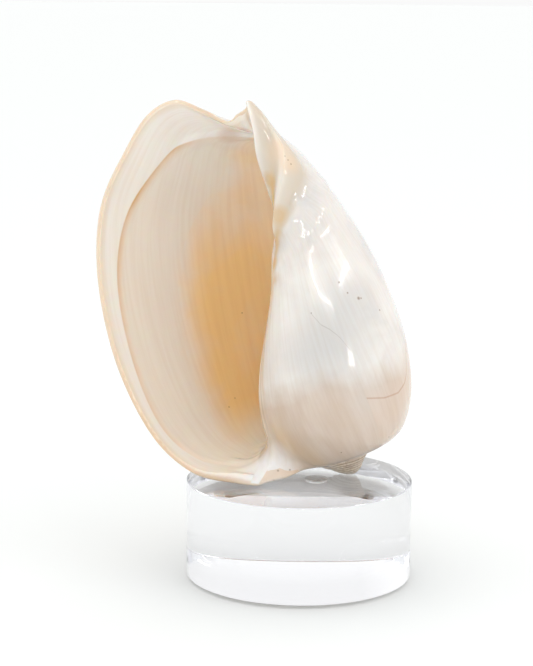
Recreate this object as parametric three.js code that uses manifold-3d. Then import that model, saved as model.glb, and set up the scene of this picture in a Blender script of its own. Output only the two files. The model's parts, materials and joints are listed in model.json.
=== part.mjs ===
// Indian volute shell standing apex down on a clear round disc.
// Millimetres, +Z up, origin on the floor below the middle of the whole object.
// The viewer stands on the -Y side and looks into the open shell.
import * as THREE from "three";
import Module from "manifold-3d";
import { mergeVertices } from "three/addons/utils/BufferGeometryUtils.js";

// Stand: four bumper feet and a thick disc, with a hair gap between the pieces
const PART_GAP = 0.3;
const FOOT_RADIUS = 5;
const FOOT_HEIGHT = 1.5;
const FOOT_EDGE_BEVEL = 0.3;
const FOOT_SEGMENTS = 16;
const FOOT_CIRCLE_RADIUS = 39;
const FOOT_ANGLES_DEG = [-101, -11, 79, 169];
const FOOT_ROUGHNESS = 0.2;
const DISC_RADIUS = 50.8;
const DISC_HEIGHT = 43.6;
const DISC_EDGE_BEVEL = 0.5;
const DISC_SEGMENTS = 64;
const DISC_ROUGHNESS = 0.03;
const DISC_BOTTOM = FOOT_HEIGHT + PART_GAP;
const DISC_TOP = DISC_BOTTOM + DISC_HEIGHT;
// The shell reaches out over the left and the back, so the disc stands off the middle
const DISC_X = 20;
const DISC_Y = -6.25;

// Place of the shell: its coiling axis starts at the apex, which stands right of and
// behind the middle of the disc, and leans to the left
const APEX_X = DISC_X + 21;
const APEX_Y = DISC_Y + 9;
const LEAN_DEG = 14;

// Spiral lines of the outer surface, from the suture (spire side) to the canal.
// lip: radius, height and azimuth where the line ends at the outer lip.
// half and full: radius and height half a whorl and one whorl before the lip.
// flare: how much the line turns outward just before the lip, as a share of its radius.
const SPIRAL_LINES = [
  { lip: [22.9, 12.4, 236], half: [12.5, 8], full: [9, 6.5], flare: 0 },
  { lip: [39.5, 8.4, 220.5], half: [23, 11], full: [17, 8.5], flare: 0.05 },
  { lip: [55.2, 13.6, 208], half: [32, 16], full: [24.5, 11], flare: 0.12 },
  { lip: [70.6, 22.7, 201], half: [38, 27], full: [30, 20], flare: 0.12 },
  { lip: [82.6, 43.2, 196], half: [41, 41], full: [31.5, 31], flare: 0.1 },
  { lip: [89.2, 77.8, 193], half: [41.5, 58], full: [30.5, 43], flare: 0.08 },
  { lip: [87.4, 115.8, 191], half: [39, 77], full: [27, 56], flare: 0.06 },
  { lip: [78.1, 146.1, 190], half: [34.5, 96], full: [21.5, 70], flare: 0.05 },
  { lip: [60.7, 168.4, 190], half: [27.5, 115], full: [15.5, 84], flare: 0.05 },
  { lip: [47.3, 180.6, 190], half: [24.5, 122], full: [13, 91], flare: 0.04 },
  { lip: [34.1, 183.3, 188], half: [21, 129], full: [11, 97], flare: 0.03 },
  { lip: [23.7, 175.1, 168], half: [14.5, 137], full: [8, 106], flare: 0.01 },
  { lip: [16.1, 167.7, 152], half: [8, 143], full: [5, 114], flare: 0 },
  { lip: [5.5, 175, 165], half: [3, 138], full: [2, 112], flare: 0 },
];
const LAST_LINE = SPIRAL_LINES.length - 1;
const FLARE_WHORLS = 0.07;
const OLD_WHORL_SLOPE = -0.6;
const EASE_WHORLS = 0.25;

// Shell wall, thinner at the lip
const WALL = 3.2;
const LIP_WALL = 2;
const WALL_GROWS_WITHIN = 0.12;
const NORMAL_STEP = 0.01;

// How finely the spiral surface is cut, along the whorls and across the lines
const RINGS_PER_WHORL = 24;
const LINE_STEP = 0.5;
const CANAL_LINE_STEP = 0.25;

// Filled body of the spiral, made of wedges that reach in to the axis
const WEDGES = 4;
const WEDGE_RINGS = 9;
const LOWEST_AXIS_FOOT = 3;
const CANAL_LINE = 11;
const CANAL_FLOOR_LINE = 12;
const CANAL_END_LINE = 13;

// Hollow of the shell, from just outside the lip to deep in the older whorls.
// The first lines of its two sides move up where the whorls are older.
const HOLLOW_FROM = -0.04;
const HOLLOW_TO = 1.85;
const HOLLOW_FIRST_LINE = 0.7;
const OLD_HOLLOW_FIRST_LINE = 1.4;
const HOLLOW_LAST_LINE = 12.9;
const PARIETAL_FIRST_LINE = 2.4;
const OLD_PARIETAL_FIRST_LINE = 3.3;
const FIRST_LINES_MOVE_WITHIN = 0.4;
const PARIETAL_POINTS = 20;
const CANAL_ROOF_SHARE = 0.5;
const CLEAR_IN_FRONT = 60;
const CLEAR_TO_LEFT = 30;

// Solid axis pillar: height, shift to the right, shift to the front and radius
const PILLAR = [
  [12, 0, 0, 3], [40, 0, 0, 4.5], [80, 0, 0, 6], [98, -1, 4, 6.5], [108, 0.5, 5.5, 6.5],
  [118, 2.5, 5, 7.5], [128, 4.5, 3.2, 8], [140, 6, 1.5, 8.6], [150, 3.9, 0.3, 6.7], [160, 1.2, 0, 4.3],
  [168.6, -1.2, 0, 2.7], [176.7, -4, 0, 0.6],
];
const PILLAR_STEPS = 36;
const PILLAR_SEGMENTS = 24;
// Pleats: spiral folds on the pillar. leftHeight: where the ridge meets the left edge.
// rise: degrees that the ridge turns to the front for each millimetre of height.
// The left side of a fold is steep and the right side is gentle. The folds are full size on
// the thick part of the pillar and fade on the side that the next whorl covers.
const PLEATS = [
  { leftHeight: 148, rise: 2.2 },
  { leftHeight: 106, rise: 2.7 },
  { leftHeight: 98, rise: 4 },
];
const PLEAT_SIZE = 3;
const PLEAT_STEEP_DEG = 18;
const PLEAT_GENTLE_DEG = 46;
const PLEAT_CURVE = 1.5;
const PLEAT_FULL_SIZE_RADIUS = 6;
const PLEAT_FADE = 0.5;
const PLEAT_SIDE_DEG = 135;

// Worn spire: a low cone with one small step, given as rings at shares of its radius.
// Heights are along the coiling axis; the tip stands a little below its start.
const SPIRE_RADIUS = 12;
const SPIRE_TIP = -1;
const SPIRE_RIM = 7;
const SPIRE_CURVE = 1.5;
const SPIRE_TIP_SHIFT = 4;
const SPIRE_TOP = 15;
const SPIRE_RING_SHARES = [0.05, 0.2, 0.4, 0.56, 0.62, 0.75, 0.9, 1];
const SPIRE_STEP_SHARE = 0.6;
const SPIRE_STEP_HEIGHT = 0.5;
const SPIRE_SEGMENTS = 32;

const radians = THREE.MathUtils.degToRad;

function cubic(before, from, to, after, share) {
  // Catmull-Rom curve between two values
  const slopeFrom = before === undefined ? to - from : (to - before) / 2;
  const slopeTo = after === undefined ? to - from : (after - from) / 2;
  const square = share * share;
  const cube = square * share;
  return (2 * cube - 3 * square + 1) * from + (cube - 2 * square + share) * slopeFrom
    + (3 * square - 2 * cube) * to + (cube - square) * slopeTo;
}

function acrossLines(line, read) {
  // Smooth value between the spiral lines
  const index = Math.min(Math.floor(line), LAST_LINE - 1);
  const at = (i) => (SPIRAL_LINES[i] === undefined ? undefined : read(SPIRAL_LINES[i]));
  return cubic(at(index - 1), at(index), at(index + 1), at(index + 2), line - index);
}

function grown(lip, half, full, whorls) {
  // Size of a growing shell: the logarithm follows a parabola through the three
  // stages, then eases into the even growth of the older whorls
  const toHalf = Math.log(half / lip);
  const toFull = Math.log(full / lip);
  const bend = 2 * (toFull - 2 * toHalf);
  const slope = toFull - bend;
  const recent = Math.min(whorls, 1);
  const older = whorls - recent;
  const eased = EASE_WHORLS * (1 - Math.exp(-older / EASE_WHORLS));
  const oldPart = (slope + 2 * bend) * eased + OLD_WHORL_SLOPE * (older - eased);
  return lip * Math.exp(slope * recent + bend * recent * recent + oldPart);
}

function outerPoint(whorls, line) {
  // Point of the outer surface, that many whorls before the lip
  const flare = acrossLines(line, (k) => k.flare);
  const lipRadius = acrossLines(line, (k) => k.lip[0]) * (1 - flare);
  const halfRadius = acrossLines(line, (k) => k.half[0]);
  const fullRadius = acrossLines(line, (k) => k.full[0]);
  const lipHeight = acrossLines(line, (k) => k.lip[1]);
  const halfHeight = acrossLines(line, (k) => k.half[1]);
  const fullHeight = acrossLines(line, (k) => k.full[1]);
  const azimuth = radians(acrossLines(line, (k) => k.lip[2]) - 360 * whorls);
  const turnOut = 1 + flare / (1 - flare) * Math.exp(-Math.max(whorls, 0) / FLARE_WHORLS);
  const radius = grown(lipRadius, halfRadius, fullRadius, whorls) * turnOut;
  const height = grown(lipHeight, halfHeight, fullHeight, whorls);
  return new THREE.Vector3(radius * Math.cos(azimuth), radius * Math.sin(azimuth), height);
}

function innerPoint(whorls, line) {
  // Outer surface moved inward by the wall
  const along = outerPoint(whorls + NORMAL_STEP, line).sub(outerPoint(whorls - NORMAL_STEP, line));
  const across = outerPoint(whorls, Math.min(line + NORMAL_STEP, LAST_LINE))
    .sub(outerPoint(whorls, Math.max(line - NORMAL_STEP, 0)));
  const inward = along.cross(across).normalize();
  const grownShare = Math.min(Math.max(whorls, 0) / WALL_GROWS_WITHIN, 1);
  const wall = LIP_WALL + (WALL - LIP_WALL) * grownShare;
  const wholeWhorls = Math.max(1, whorls);
  return outerPoint(whorls, line).addScaledVector(inward, wall / wholeWhorls);
}

function gridSolid(rings) {
  // Closed body from rings with equal numbers of points, with a fan on both ends
  const count = rings[0].length;
  const vertices = rings.flat().flatMap((p) => [p.x, p.y, p.z]);
  const faces = [];
  for (let i = 0; i < rings.length - 1; i += 1) {
    for (let j = 0; j < count; j += 1) {
      const a = i * count + j;
      const b = i * count + (j + 1) % count;
      faces.push([a, b, b + count], [a, b + count, a + count]);
    }
  }
  for (const [first, flip] of [[0, true], [(rings.length - 1) * count, false]]) {
    const middle = new THREE.Vector3();
    for (let j = 0; j < count; j += 1) {
      middle.add(new THREE.Vector3().fromArray(vertices, 3 * (first + j)));
    }
    middle.divideScalar(count);
    const centre = vertices.length / 3;
    vertices.push(middle.x, middle.y, middle.z);
    for (let j = 0; j < count; j += 1) {
      const a = first + j;
      const b = first + (j + 1) % count;
      faces.push(flip ? [b, a, centre] : [a, b, centre]);
    }
  }
  return { vertices, faces };
}

function signedVolume({ vertices, faces }) {
  const corner = (i) => new THREE.Vector3().fromArray(vertices, 3 * i);
  return faces.reduce((sum, [a, b, c]) => sum + corner(a).dot(corner(b).cross(corner(c))), 0) / 6;
}

function solidOf(wasm, body) {
  // Solid with its faces turned outward
  const outward = signedVolume(body) > 0;
  const faces = outward ? body.faces : body.faces.map(([a, b, c]) => [a, c, b]);
  const mesh = new wasm.Mesh({
    numProp: 3,
    vertProperties: new Float32Array(body.vertices),
    triVerts: new Uint32Array(faces.flat()),
  });
  return new wasm.Manifold(mesh);
}

function linesAcross(firstLine, lastLine) {
  // Lines at which the surface is sampled: closer together around the canal
  const lines = [firstLine];
  let line = LINE_STEP;
  while (line < lastLine) {
    if (line > firstLine) {
      lines.push(line);
    }
    line += line < CANAL_LINE ? LINE_STEP : CANAL_LINE_STEP;
  }
  lines.push(lastLine);
  return lines;
}

function axisFoot(whorls) {
  // Height where the slope beside the suture, carried on inward, meets the axis,
  // kept inside the spire
  const suture = outerPoint(whorls, 0);
  const next = outerPoint(whorls, 1);
  const sutureRadius = Math.hypot(suture.x, suture.y);
  const nextRadius = Math.hypot(next.x, next.y);
  const foot = suture.z + (suture.z - next.z) * sutureRadius / (nextRadius - sutureRadius);
  return Math.max(foot, LOWEST_AXIS_FOOT);
}

function wedgeSolid(wasm, firstRing, lastRing, lastLine) {
  // Everything between the outer surface and the axis, for a part of the spiral.
  // The two end caps meet on the axis; fans close the bottom and the top.
  const lines = linesAcross(0, lastLine);
  const skin = lines.length;
  const ringCount = lastRing - firstRing;
  const vertices = [];
  const faces = [];
  for (let i = firstRing; i <= lastRing; i += 1) {
    lines.forEach((line) => vertices.push(...outerPoint(i / RINGS_PER_WHORL, line).toArray()));
  }
  const axisStart = (ringCount + 1) * skin;
  const foot = axisFoot(firstRing / RINGS_PER_WHORL);
  const head = outerPoint((firstRing + lastRing) / 2 / RINGS_PER_WHORL, lastLine).z;
  for (let j = 0; j < skin; j += 1) {
    vertices.push(0, 0, foot + (head - foot) * lines[j] / lastLine);
  }
  for (let i = 0; i < ringCount; i += 1) {
    for (let j = 0; j < skin - 1; j += 1) {
      const a = i * skin + j;
      faces.push([a, a + 1, a + 1 + skin], [a, a + 1 + skin, a + skin]);
    }
    faces.push([i * skin, (i + 1) * skin, axisStart]);
    faces.push([i * skin + skin - 1, axisStart + skin - 1, (i + 1) * skin + skin - 1]);
  }
  const last = ringCount * skin;
  for (let j = 0; j < skin - 1; j += 1) {
    const a = axisStart + j;
    faces.push([a, a + 1, j + 1], [a, j + 1, j]);
    faces.push([a + 1, a, last + j], [a + 1, last + j, last + j + 1]);
  }
  return solidOf(wasm, { vertices, faces });
}

function hollowRing(whorls) {
  // One section of the hollow: along the inner wall to the end of the canal, in to the
  // pillar, and back along the whorl before
  const age = Math.max(whorls, 0);
  const moved = Math.min(age / FIRST_LINES_MOVE_WITHIN, 1);
  const firstLine = HOLLOW_FIRST_LINE + (OLD_HOLLOW_FIRST_LINE - HOLLOW_FIRST_LINE) * moved;
  const lineSpan = HOLLOW_LAST_LINE - firstLine;
  const ring = HOLLOW_SHARES.map((share) => innerPoint(whorls, firstLine + lineSpan * share));
  const canalEnd = ring[ring.length - 1];
  ring.push(canalEnd.clone().multiplyScalar(CANAL_ROOF_SHARE).setZ(canalEnd.z));
  const parietalMove = OLD_PARIETAL_FIRST_LINE - PARIETAL_FIRST_LINE;
  const parietalLine = PARIETAL_FIRST_LINE + parietalMove * moved;
  for (let j = 0; j <= PARIETAL_POINTS; j += 1) {
    const line = LAST_LINE - (LAST_LINE - parietalLine) * j / PARIETAL_POINTS;
    ring.push(outerPoint(whorls + 1, line));
  }
  return ring;
}

function hollowSolid(wasm) {
  // The first ring is carried out to the front; its side beside the body whorl goes
  // to the left too, so that it stays clear of that whorl
  const rings = [hollowRing(HOLLOW_FROM).map((p, index) => {
    const left = index > HOLLOW_SHARES.length ? CLEAR_TO_LEFT : 0;
    return p.add(new THREE.Vector3(-left, -CLEAR_IN_FRONT, 0));
  })];
  const count = Math.ceil((HOLLOW_TO - HOLLOW_FROM) * RINGS_PER_WHORL);
  for (let i = 0; i <= count; i += 1) {
    rings.push(hollowRing(HOLLOW_FROM + (HOLLOW_TO - HOLLOW_FROM) * i / count));
  }
  return solidOf(wasm, gridSolid(rings));
}

function pillarAt(height) {
  // Shifts and radius of the pillar, smooth between its rows
  const above = PILLAR.findIndex((row) => row[0] >= height);
  const index = above < 0 ? PILLAR.length - 1 : Math.max(above, 1);
  const share = (height - PILLAR[index - 1][0]) / (PILLAR[index][0] - PILLAR[index - 1][0]);
  const at = (column) => cubic(PILLAR[index - 2]?.[column], PILLAR[index - 1][column],
    PILLAR[index][column], PILLAR[index + 1]?.[column], share);
  return { right: at(1), front: at(2), radius: at(3) };
}

function pleatBulge(angle, height) {
  // How far the pleats stand out here, from 0 to about 1
  const bulges = PLEATS.map(({ leftHeight, rise }) => {
    const ridge = -180 + (height - leftHeight) * rise;
    const away = THREE.MathUtils.euclideanModulo(angle - ridge + 180, 360) - 180;
    const width = away < 0 ? PLEAT_STEEP_DEG : PLEAT_GENTLE_DEG;
    return Math.exp(-(Math.abs(away / width) ** PLEAT_CURVE));
  });
  const openness = Math.cos(radians(angle + PLEAT_SIDE_DEG));
  return Math.max(...bulges) * THREE.MathUtils.smoothstep(openness, -PLEAT_FADE, PLEAT_FADE);
}

function pillarSolid(wasm) {
  const rings = [];
  const bottom = PILLAR[0][0];
  const top = PILLAR[PILLAR.length - 1][0];
  for (let i = 0; i <= PILLAR_STEPS; i += 1) {
    const height = bottom + (top - bottom) * i / PILLAR_STEPS;
    const { right, front, radius } = pillarAt(height);
    const pleatSize = PLEAT_SIZE * Math.min(1, radius / PLEAT_FULL_SIZE_RADIUS);
    const ring = [];
    for (let j = 0; j < PILLAR_SEGMENTS; j += 1) {
      const angle = 360 * j / PILLAR_SEGMENTS;
      const reach = radius + pleatSize * pleatBulge(angle, height);
      const x = right + reach * Math.cos(radians(angle));
      ring.push(new THREE.Vector3(x, reach * Math.sin(radians(angle)) - front, height));
    }
    rings.push(ring);
  }
  return solidOf(wasm, gridSolid(rings));
}

function spireSolid(wasm) {
  // The tip is off the axis; a straight stub joins the cone to the whorls above
  const rings = SPIRE_RING_SHARES.map((share) => {
    const step = share > SPIRE_STEP_SHARE ? SPIRE_STEP_HEIGHT : 0;
    const height = SPIRE_TIP + (SPIRE_RIM - SPIRE_TIP) * share ** SPIRE_CURVE + step;
    const shift = SPIRE_TIP_SHIFT * (1 - share);
    const ring = [];
    for (let j = 0; j < SPIRE_SEGMENTS; j += 1) {
      const angle = radians(360 * j / SPIRE_SEGMENTS);
      const x = shift + SPIRE_RADIUS * share * Math.cos(angle);
      ring.push(new THREE.Vector3(x, SPIRE_RADIUS * share * Math.sin(angle), height));
    }
    return ring;
  });
  rings.push(rings[rings.length - 1].map((p) => p.clone().setZ(SPIRE_TOP)));
  return solidOf(wasm, gridSolid(rings));
}

function shellPlacement() {
  const lean = new THREE.Matrix4().makeRotationY(-radians(LEAN_DEG));
  const move = new THREE.Matrix4().makeTranslation(APEX_X, APEX_Y, DISC_TOP + PART_GAP);
  return move.multiply(lean);
}

function shellMaterial() {
  return new THREE.MeshStandardMaterial({ color: "#e9dccf", roughness: 0.25, metalness: 0 });
}

function clearMaterial(roughness) {
  return new THREE.MeshStandardMaterial({ color: "#f1f4f7", roughness, metalness: 0 });
}

function geometryOf(solid) {
  const mesh = solid.getMesh();
  const geometry = new THREE.BufferGeometry();
  const positions = new Float32Array(mesh.numVert * 3);
  for (let i = 0; i < mesh.numVert; i += 1) {
    positions.set(mesh.vertProperties.slice(i * mesh.numProp, i * mesh.numProp + 3), i * 3);
  }
  geometry.setAttribute("position", new THREE.BufferAttribute(positions, 3));
  geometry.setIndex(new THREE.BufferAttribute(new Uint32Array(mesh.triVerts), 1));
  return mergeVertices(geometry);
}

function largestPiece(body) {
  // The joins can leave specks smaller than a grain of sand; only the shell is kept
  return body.decompose().reduce((best, piece) => (piece.volume() > best.volume() ? piece : best));
}

function shellMesh(wasm) {
  // Neighbouring wedges share one ring step, so that they join without a seam
  let body = wedgeSolid(wasm, 0, WEDGE_RINGS, CANAL_END_LINE);
  for (let wedge = 1; wedge < WEDGES; wedge += 1) {
    const firstRing = wedge * (WEDGE_RINGS - 1);
    body = body.add(wedgeSolid(wasm, firstRing, firstRing + WEDGE_RINGS, CANAL_FLOOR_LINE));
  }
  body = body.subtract(hollowSolid(wasm));
  body = body.add(pillarSolid(wasm)).add(spireSolid(wasm));
  const geometry = geometryOf(largestPiece(body)).applyMatrix4(shellPlacement());
  const mesh = new THREE.Mesh(geometry, shellMaterial());
  mesh.name = "shell";
  return mesh;
}

function roundBlock(name, size, material) {
  // Flat round block with a small bevel on both edges
  const { radius, bottom, top, bevel, segments } = size;
  const profile = [
    new THREE.Vector2(0, bottom),
    new THREE.Vector2(radius - bevel, bottom),
    new THREE.Vector2(radius, bottom + bevel),
    new THREE.Vector2(radius, top - bevel),
    new THREE.Vector2(radius - bevel, top),
    new THREE.Vector2(0, top),
  ];
  const geometry = new THREE.LatheGeometry(profile, segments).rotateX(Math.PI / 2);
  const mesh = new THREE.Mesh(geometry.translate(DISC_X, DISC_Y, 0), material);
  mesh.name = name;
  return mesh;
}

function discMesh() {
  const size = {
    radius: DISC_RADIUS,
    bottom: DISC_BOTTOM,
    top: DISC_TOP,
    bevel: DISC_EDGE_BEVEL,
    segments: DISC_SEGMENTS,
  };
  return roundBlock("disc", size, clearMaterial(DISC_ROUGHNESS));
}

function footMesh(index) {
  const size = {
    radius: FOOT_RADIUS,
    bottom: 0,
    top: FOOT_HEIGHT,
    bevel: FOOT_EDGE_BEVEL,
    segments: FOOT_SEGMENTS,
  };
  const mesh = roundBlock(`foot_${index + 1}`, size, clearMaterial(FOOT_ROUGHNESS));
  const angle = radians(FOOT_ANGLES_DEG[index]);
  const x = FOOT_CIRCLE_RADIUS * Math.cos(angle);
  mesh.geometry.translate(x, FOOT_CIRCLE_RADIUS * Math.sin(angle), 0);
  return mesh;
}

// The hollow's lines as shares of its span, because the first line moves with age
const HOLLOW_SHARES = linesAcross(HOLLOW_FIRST_LINE, HOLLOW_LAST_LINE)
  .map((line) => (line - HOLLOW_FIRST_LINE) / (HOLLOW_LAST_LINE - HOLLOW_FIRST_LINE));

const wasm = await Module();
wasm.setup();
const group = new THREE.Group();
group.add(shellMesh(wasm), discMesh());
FOOT_ANGLES_DEG.forEach((_, index) => group.add(footMesh(index)));
export default group;
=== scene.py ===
# %% [markdown]
# # An Indian volute shell on a clear disc
# The object is one polished sea shell that stands on its spire, on a thick round disc of
# clear acrylic with small clear bumper feet. This lesson makes its finished look in Blender.
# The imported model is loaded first: it fixes where every piece is and how large it is.

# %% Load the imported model
import json
import math
import bpy
import numpy as np
from mathutils import Matrix, Vector
from mathutils.kdtree import KDTree

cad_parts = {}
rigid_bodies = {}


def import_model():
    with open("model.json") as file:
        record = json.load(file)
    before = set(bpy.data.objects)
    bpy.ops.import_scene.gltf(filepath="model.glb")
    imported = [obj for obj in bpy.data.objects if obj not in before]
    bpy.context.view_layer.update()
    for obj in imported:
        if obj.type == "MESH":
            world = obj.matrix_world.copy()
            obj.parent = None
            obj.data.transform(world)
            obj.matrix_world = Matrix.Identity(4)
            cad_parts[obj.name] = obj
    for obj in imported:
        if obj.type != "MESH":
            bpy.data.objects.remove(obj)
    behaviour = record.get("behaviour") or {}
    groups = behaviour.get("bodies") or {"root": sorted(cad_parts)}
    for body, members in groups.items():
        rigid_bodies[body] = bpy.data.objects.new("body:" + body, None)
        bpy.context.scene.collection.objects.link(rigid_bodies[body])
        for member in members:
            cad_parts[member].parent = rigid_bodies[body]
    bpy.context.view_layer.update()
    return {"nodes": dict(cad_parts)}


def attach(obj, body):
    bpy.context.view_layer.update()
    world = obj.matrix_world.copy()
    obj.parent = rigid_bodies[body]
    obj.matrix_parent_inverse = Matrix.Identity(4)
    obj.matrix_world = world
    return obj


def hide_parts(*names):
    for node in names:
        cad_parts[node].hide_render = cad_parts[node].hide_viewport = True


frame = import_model()
MM = 0.001
print("nodes:", sorted(frame["nodes"]))

# %% [markdown]
# ## The camera
# A product photographer stands well back and uses a long lens, so that the shell isn't
# distorted. The camera looks slightly down. Its place and directions were found by matching
# the disc's ellipses, so they are given as one point and two directions.

# %% Camera
CAMERA_PLACE = Vector((20.0, -961.25, 298.4)) * MM
CAMERA_FORWARD = Vector((-0.015803, 0.981359, -0.191533))
CAMERA_UP = Vector((-0.012092, 0.191355, 0.981446))
CAMERA_LENS = 117.95
SENSOR = 36.0


def put_in_scene(name, data):
    thing = bpy.data.objects.new(name, data)
    bpy.context.scene.collection.objects.link(thing)
    return thing


def make_camera():
    data = bpy.data.cameras.new("camera")
    data.lens = CAMERA_LENS
    data.sensor_width = SENSOR
    data.clip_end = 20.0
    back = -CAMERA_FORWARD.normalized()
    right = CAMERA_UP.cross(back).normalized()
    turn = Matrix((right, back.cross(right), back)).transposed().to_4x4()
    camera = put_in_scene("camera", data)
    camera.matrix_world = Matrix.Translation(CAMERA_PLACE) @ turn
    return camera


bpy.context.scene.camera = make_camera()
print("lens in mm:", CAMERA_LENS)

# %% [markdown]
# ## How a volute shell grows
# A snail adds shell at the edge of the mouth while the shell turns about one axis and gets
# larger. So the whole surface is known from the shape of the lip and from how fast each of
# its points grows. Each spiral line below has a radius, a height and an azimuth at the lip,
# and a radius and a height half a whorl and one whorl earlier. The logarithm of the size
# follows a parabola between them. This gives the real form, and it also gives every point
# two natural coordinates, its age in whorls and its place between suture and canal, which
# the colours use later.

# %% Spiral lines, from the suture beside the spire to the canal at the top (millimetres)
# lip radius, height and azimuth; half a whorl before: radius, height; one whorl before:
# radius, height; outward flare at the lip
SPIRAL_LINES = np.array([
    [22.9, 12.4, 236.0, 12.5, 8.0, 9.0, 6.5, 0.0],
    [39.5, 8.4, 220.5, 23.0, 11.0, 17.0, 8.5, 0.05],
    [55.2, 13.6, 208.0, 32.0, 16.0, 24.5, 11.0, 0.12],
    [70.6, 22.7, 201.0, 38.0, 27.0, 30.0, 20.0, 0.12],
    [82.6, 43.2, 196.0, 41.0, 41.0, 31.5, 31.0, 0.1],
    [89.2, 77.8, 193.0, 41.5, 58.0, 30.5, 43.0, 0.08],
    [87.4, 115.8, 191.0, 39.0, 77.0, 27.0, 56.0, 0.06],
    [78.1, 146.1, 190.0, 34.5, 96.0, 21.5, 70.0, 0.05],
    [60.7, 168.4, 190.0, 27.5, 115.0, 15.5, 84.0, 0.05],
    [47.3, 180.6, 190.0, 24.5, 122.0, 13.0, 91.0, 0.04],
    [34.1, 183.3, 188.0, 21.0, 129.0, 11.0, 97.0, 0.03],
    [23.7, 175.1, 168.0, 14.5, 137.0, 8.0, 106.0, 0.01],
    [16.1, 167.7, 152.0, 8.0, 143.0, 5.0, 114.0, 0.0],
    [5.5, 175.0, 165.0, 3.0, 138.0, 2.0, 112.0, 0.0],
])
LIP_RADIUS, LIP_HEIGHT, LIP_AZIMUTH, HALF_RADIUS, HALF_HEIGHT, FULL_RADIUS, FULL_HEIGHT, FLARE = range(8)
LAST_LINE = len(SPIRAL_LINES) - 1
FLARE_WHORLS = 0.07
OLD_WHORL_SLOPE = -0.6
EASE_WHORLS = 0.25


def smooth_between(values, place):
    """Catmull-Rom value of a column at fractional places."""
    place = np.asarray(place, float)
    last = len(values) - 1
    index = np.clip(np.floor(place).astype(int), 0, last - 1)
    start, end = values[index], values[index + 1]
    before = np.where(index > 0, values[np.maximum(index - 1, 0)], 2 * start - end)
    after = np.where(index + 2 <= last, values[np.minimum(index + 2, last)], 2 * end - start)
    slope_start = np.where(index > 0, (end - before) / 2, end - start)
    slope_end = np.where(index + 2 <= last, (after - start) / 2, end - start)
    share = place - index
    square, cube = share ** 2, share ** 3
    return ((2 * cube - 3 * square + 1) * start + (cube - 2 * square + share) * slope_start
            + (3 * square - 2 * cube) * end + (cube - square) * slope_end)


def grown(lip, half, full, whorls):
    """Size that many whorls before the lip."""
    to_half, to_full = np.log(half / lip), np.log(full / lip)
    bend = 2 * (to_full - 2 * to_half)
    slope = to_full - bend
    recent = np.minimum(whorls, 1)
    older = whorls - recent
    eased = EASE_WHORLS * (1 - np.exp(-older / EASE_WHORLS))
    old_part = (slope + 2 * bend) * eased + OLD_WHORL_SLOPE * (older - eased)
    return lip * np.exp(slope * recent + bend * recent ** 2 + old_part)


def spiral_point(whorls, line):
    """Point of the growing outer surface, in millimetres about the coiling axis."""
    whorls, line = np.broadcast_arrays(np.asarray(whorls, float), np.asarray(line, float))
    column = [smooth_between(values, line) for values in SPIRAL_LINES.T]
    flare = column[FLARE]
    turn_out = 1 + flare / (1 - flare) * np.exp(-np.maximum(whorls, 0) / FLARE_WHORLS)
    lip_radius = column[LIP_RADIUS] * (1 - flare)
    radius = grown(lip_radius, column[HALF_RADIUS], column[FULL_RADIUS], whorls) * turn_out
    height = grown(column[LIP_HEIGHT], column[HALF_HEIGHT], column[FULL_HEIGHT], whorls)
    azimuth = np.radians(column[LIP_AZIMUTH] - 360 * whorls)
    return np.stack([radius * np.cos(azimuth), radius * np.sin(azimuth), height], -1)


NORMAL_STEP = 0.01


def inward(whorls, line):
    """Unit direction from the outer surface into the shell wall."""
    along = spiral_point(whorls + NORMAL_STEP, line) - spiral_point(whorls - NORMAL_STEP, line)
    across = (spiral_point(whorls, np.minimum(line + NORMAL_STEP, LAST_LINE))
              - spiral_point(whorls, np.maximum(line - NORMAL_STEP, 0)))
    normal = np.cross(along, across)
    return normal / np.linalg.norm(normal, axis=-1, keepdims=True)


print("lip reach in mm:", round(float(np.abs(spiral_point(0, np.linspace(0, LAST_LINE, 200))).max()), 1))

# %% [markdown]
# ## Wall, lip and glaze
# The wall of the shell is 2 mm thick at the lip and 3.2 mm behind it. A polished lip has no
# sharp edge: both faces curve into each other over a millimetre. The inner glaze starts a
# few millimetres behind the lip, as a low step that the eye reads as a second line beside
# the edge. Low in the mouth it thickens into a soft pad.

# %% Wall thickness and the rounded lip
WALL = 3.2
LIP_WALL = 2.0
WALL_GROWS_WITHIN = 0.12
LIP_ROUNDING = 0.93
GLAZE_STEP = 0.55
GLAZE_STEP_WHORLS = 0.006
# where the inner glaze starts, in whorls behind the lip, for each spiral line
GLAZE_START = np.array([0.1, 0.062, 0.044, 0.028, 0.02, 0.026, 0.031, 0.048, 0.078, 0.11, 0.15, 0.2,
                        0.24, 0.24])
# the pad of glaze: its height in millimetres, its line, its reach in lines and in whorls
CALLUS = 2.6
CALLUS_LINE = 1.5
CALLUS_LINES = 1.1
CALLUS_WHORLS = 0.1


def smooth_step(value, low, high):
    share = np.clip((value - low) / (high - low), 0, 1)
    return share * share * (3 - 2 * share)


def growth_speed(whorls, line):
    """Millimetres of lip travel for each whorl of growth."""
    step = NORMAL_STEP
    travel = spiral_point(whorls + step, line) - spiral_point(whorls, line)
    return np.linalg.norm(travel, axis=-1) / step


def lip_roundness(whorls, line):
    """How far the face curves inward near the lip edge, in millimetres."""
    distance = np.clip(whorls, 0, 1) * growth_speed(np.zeros_like(line), line)
    share = np.clip(1 - distance / LIP_ROUNDING, 0, 1)
    return LIP_ROUNDING * (1 - np.sqrt(1 - share ** 2))


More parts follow.
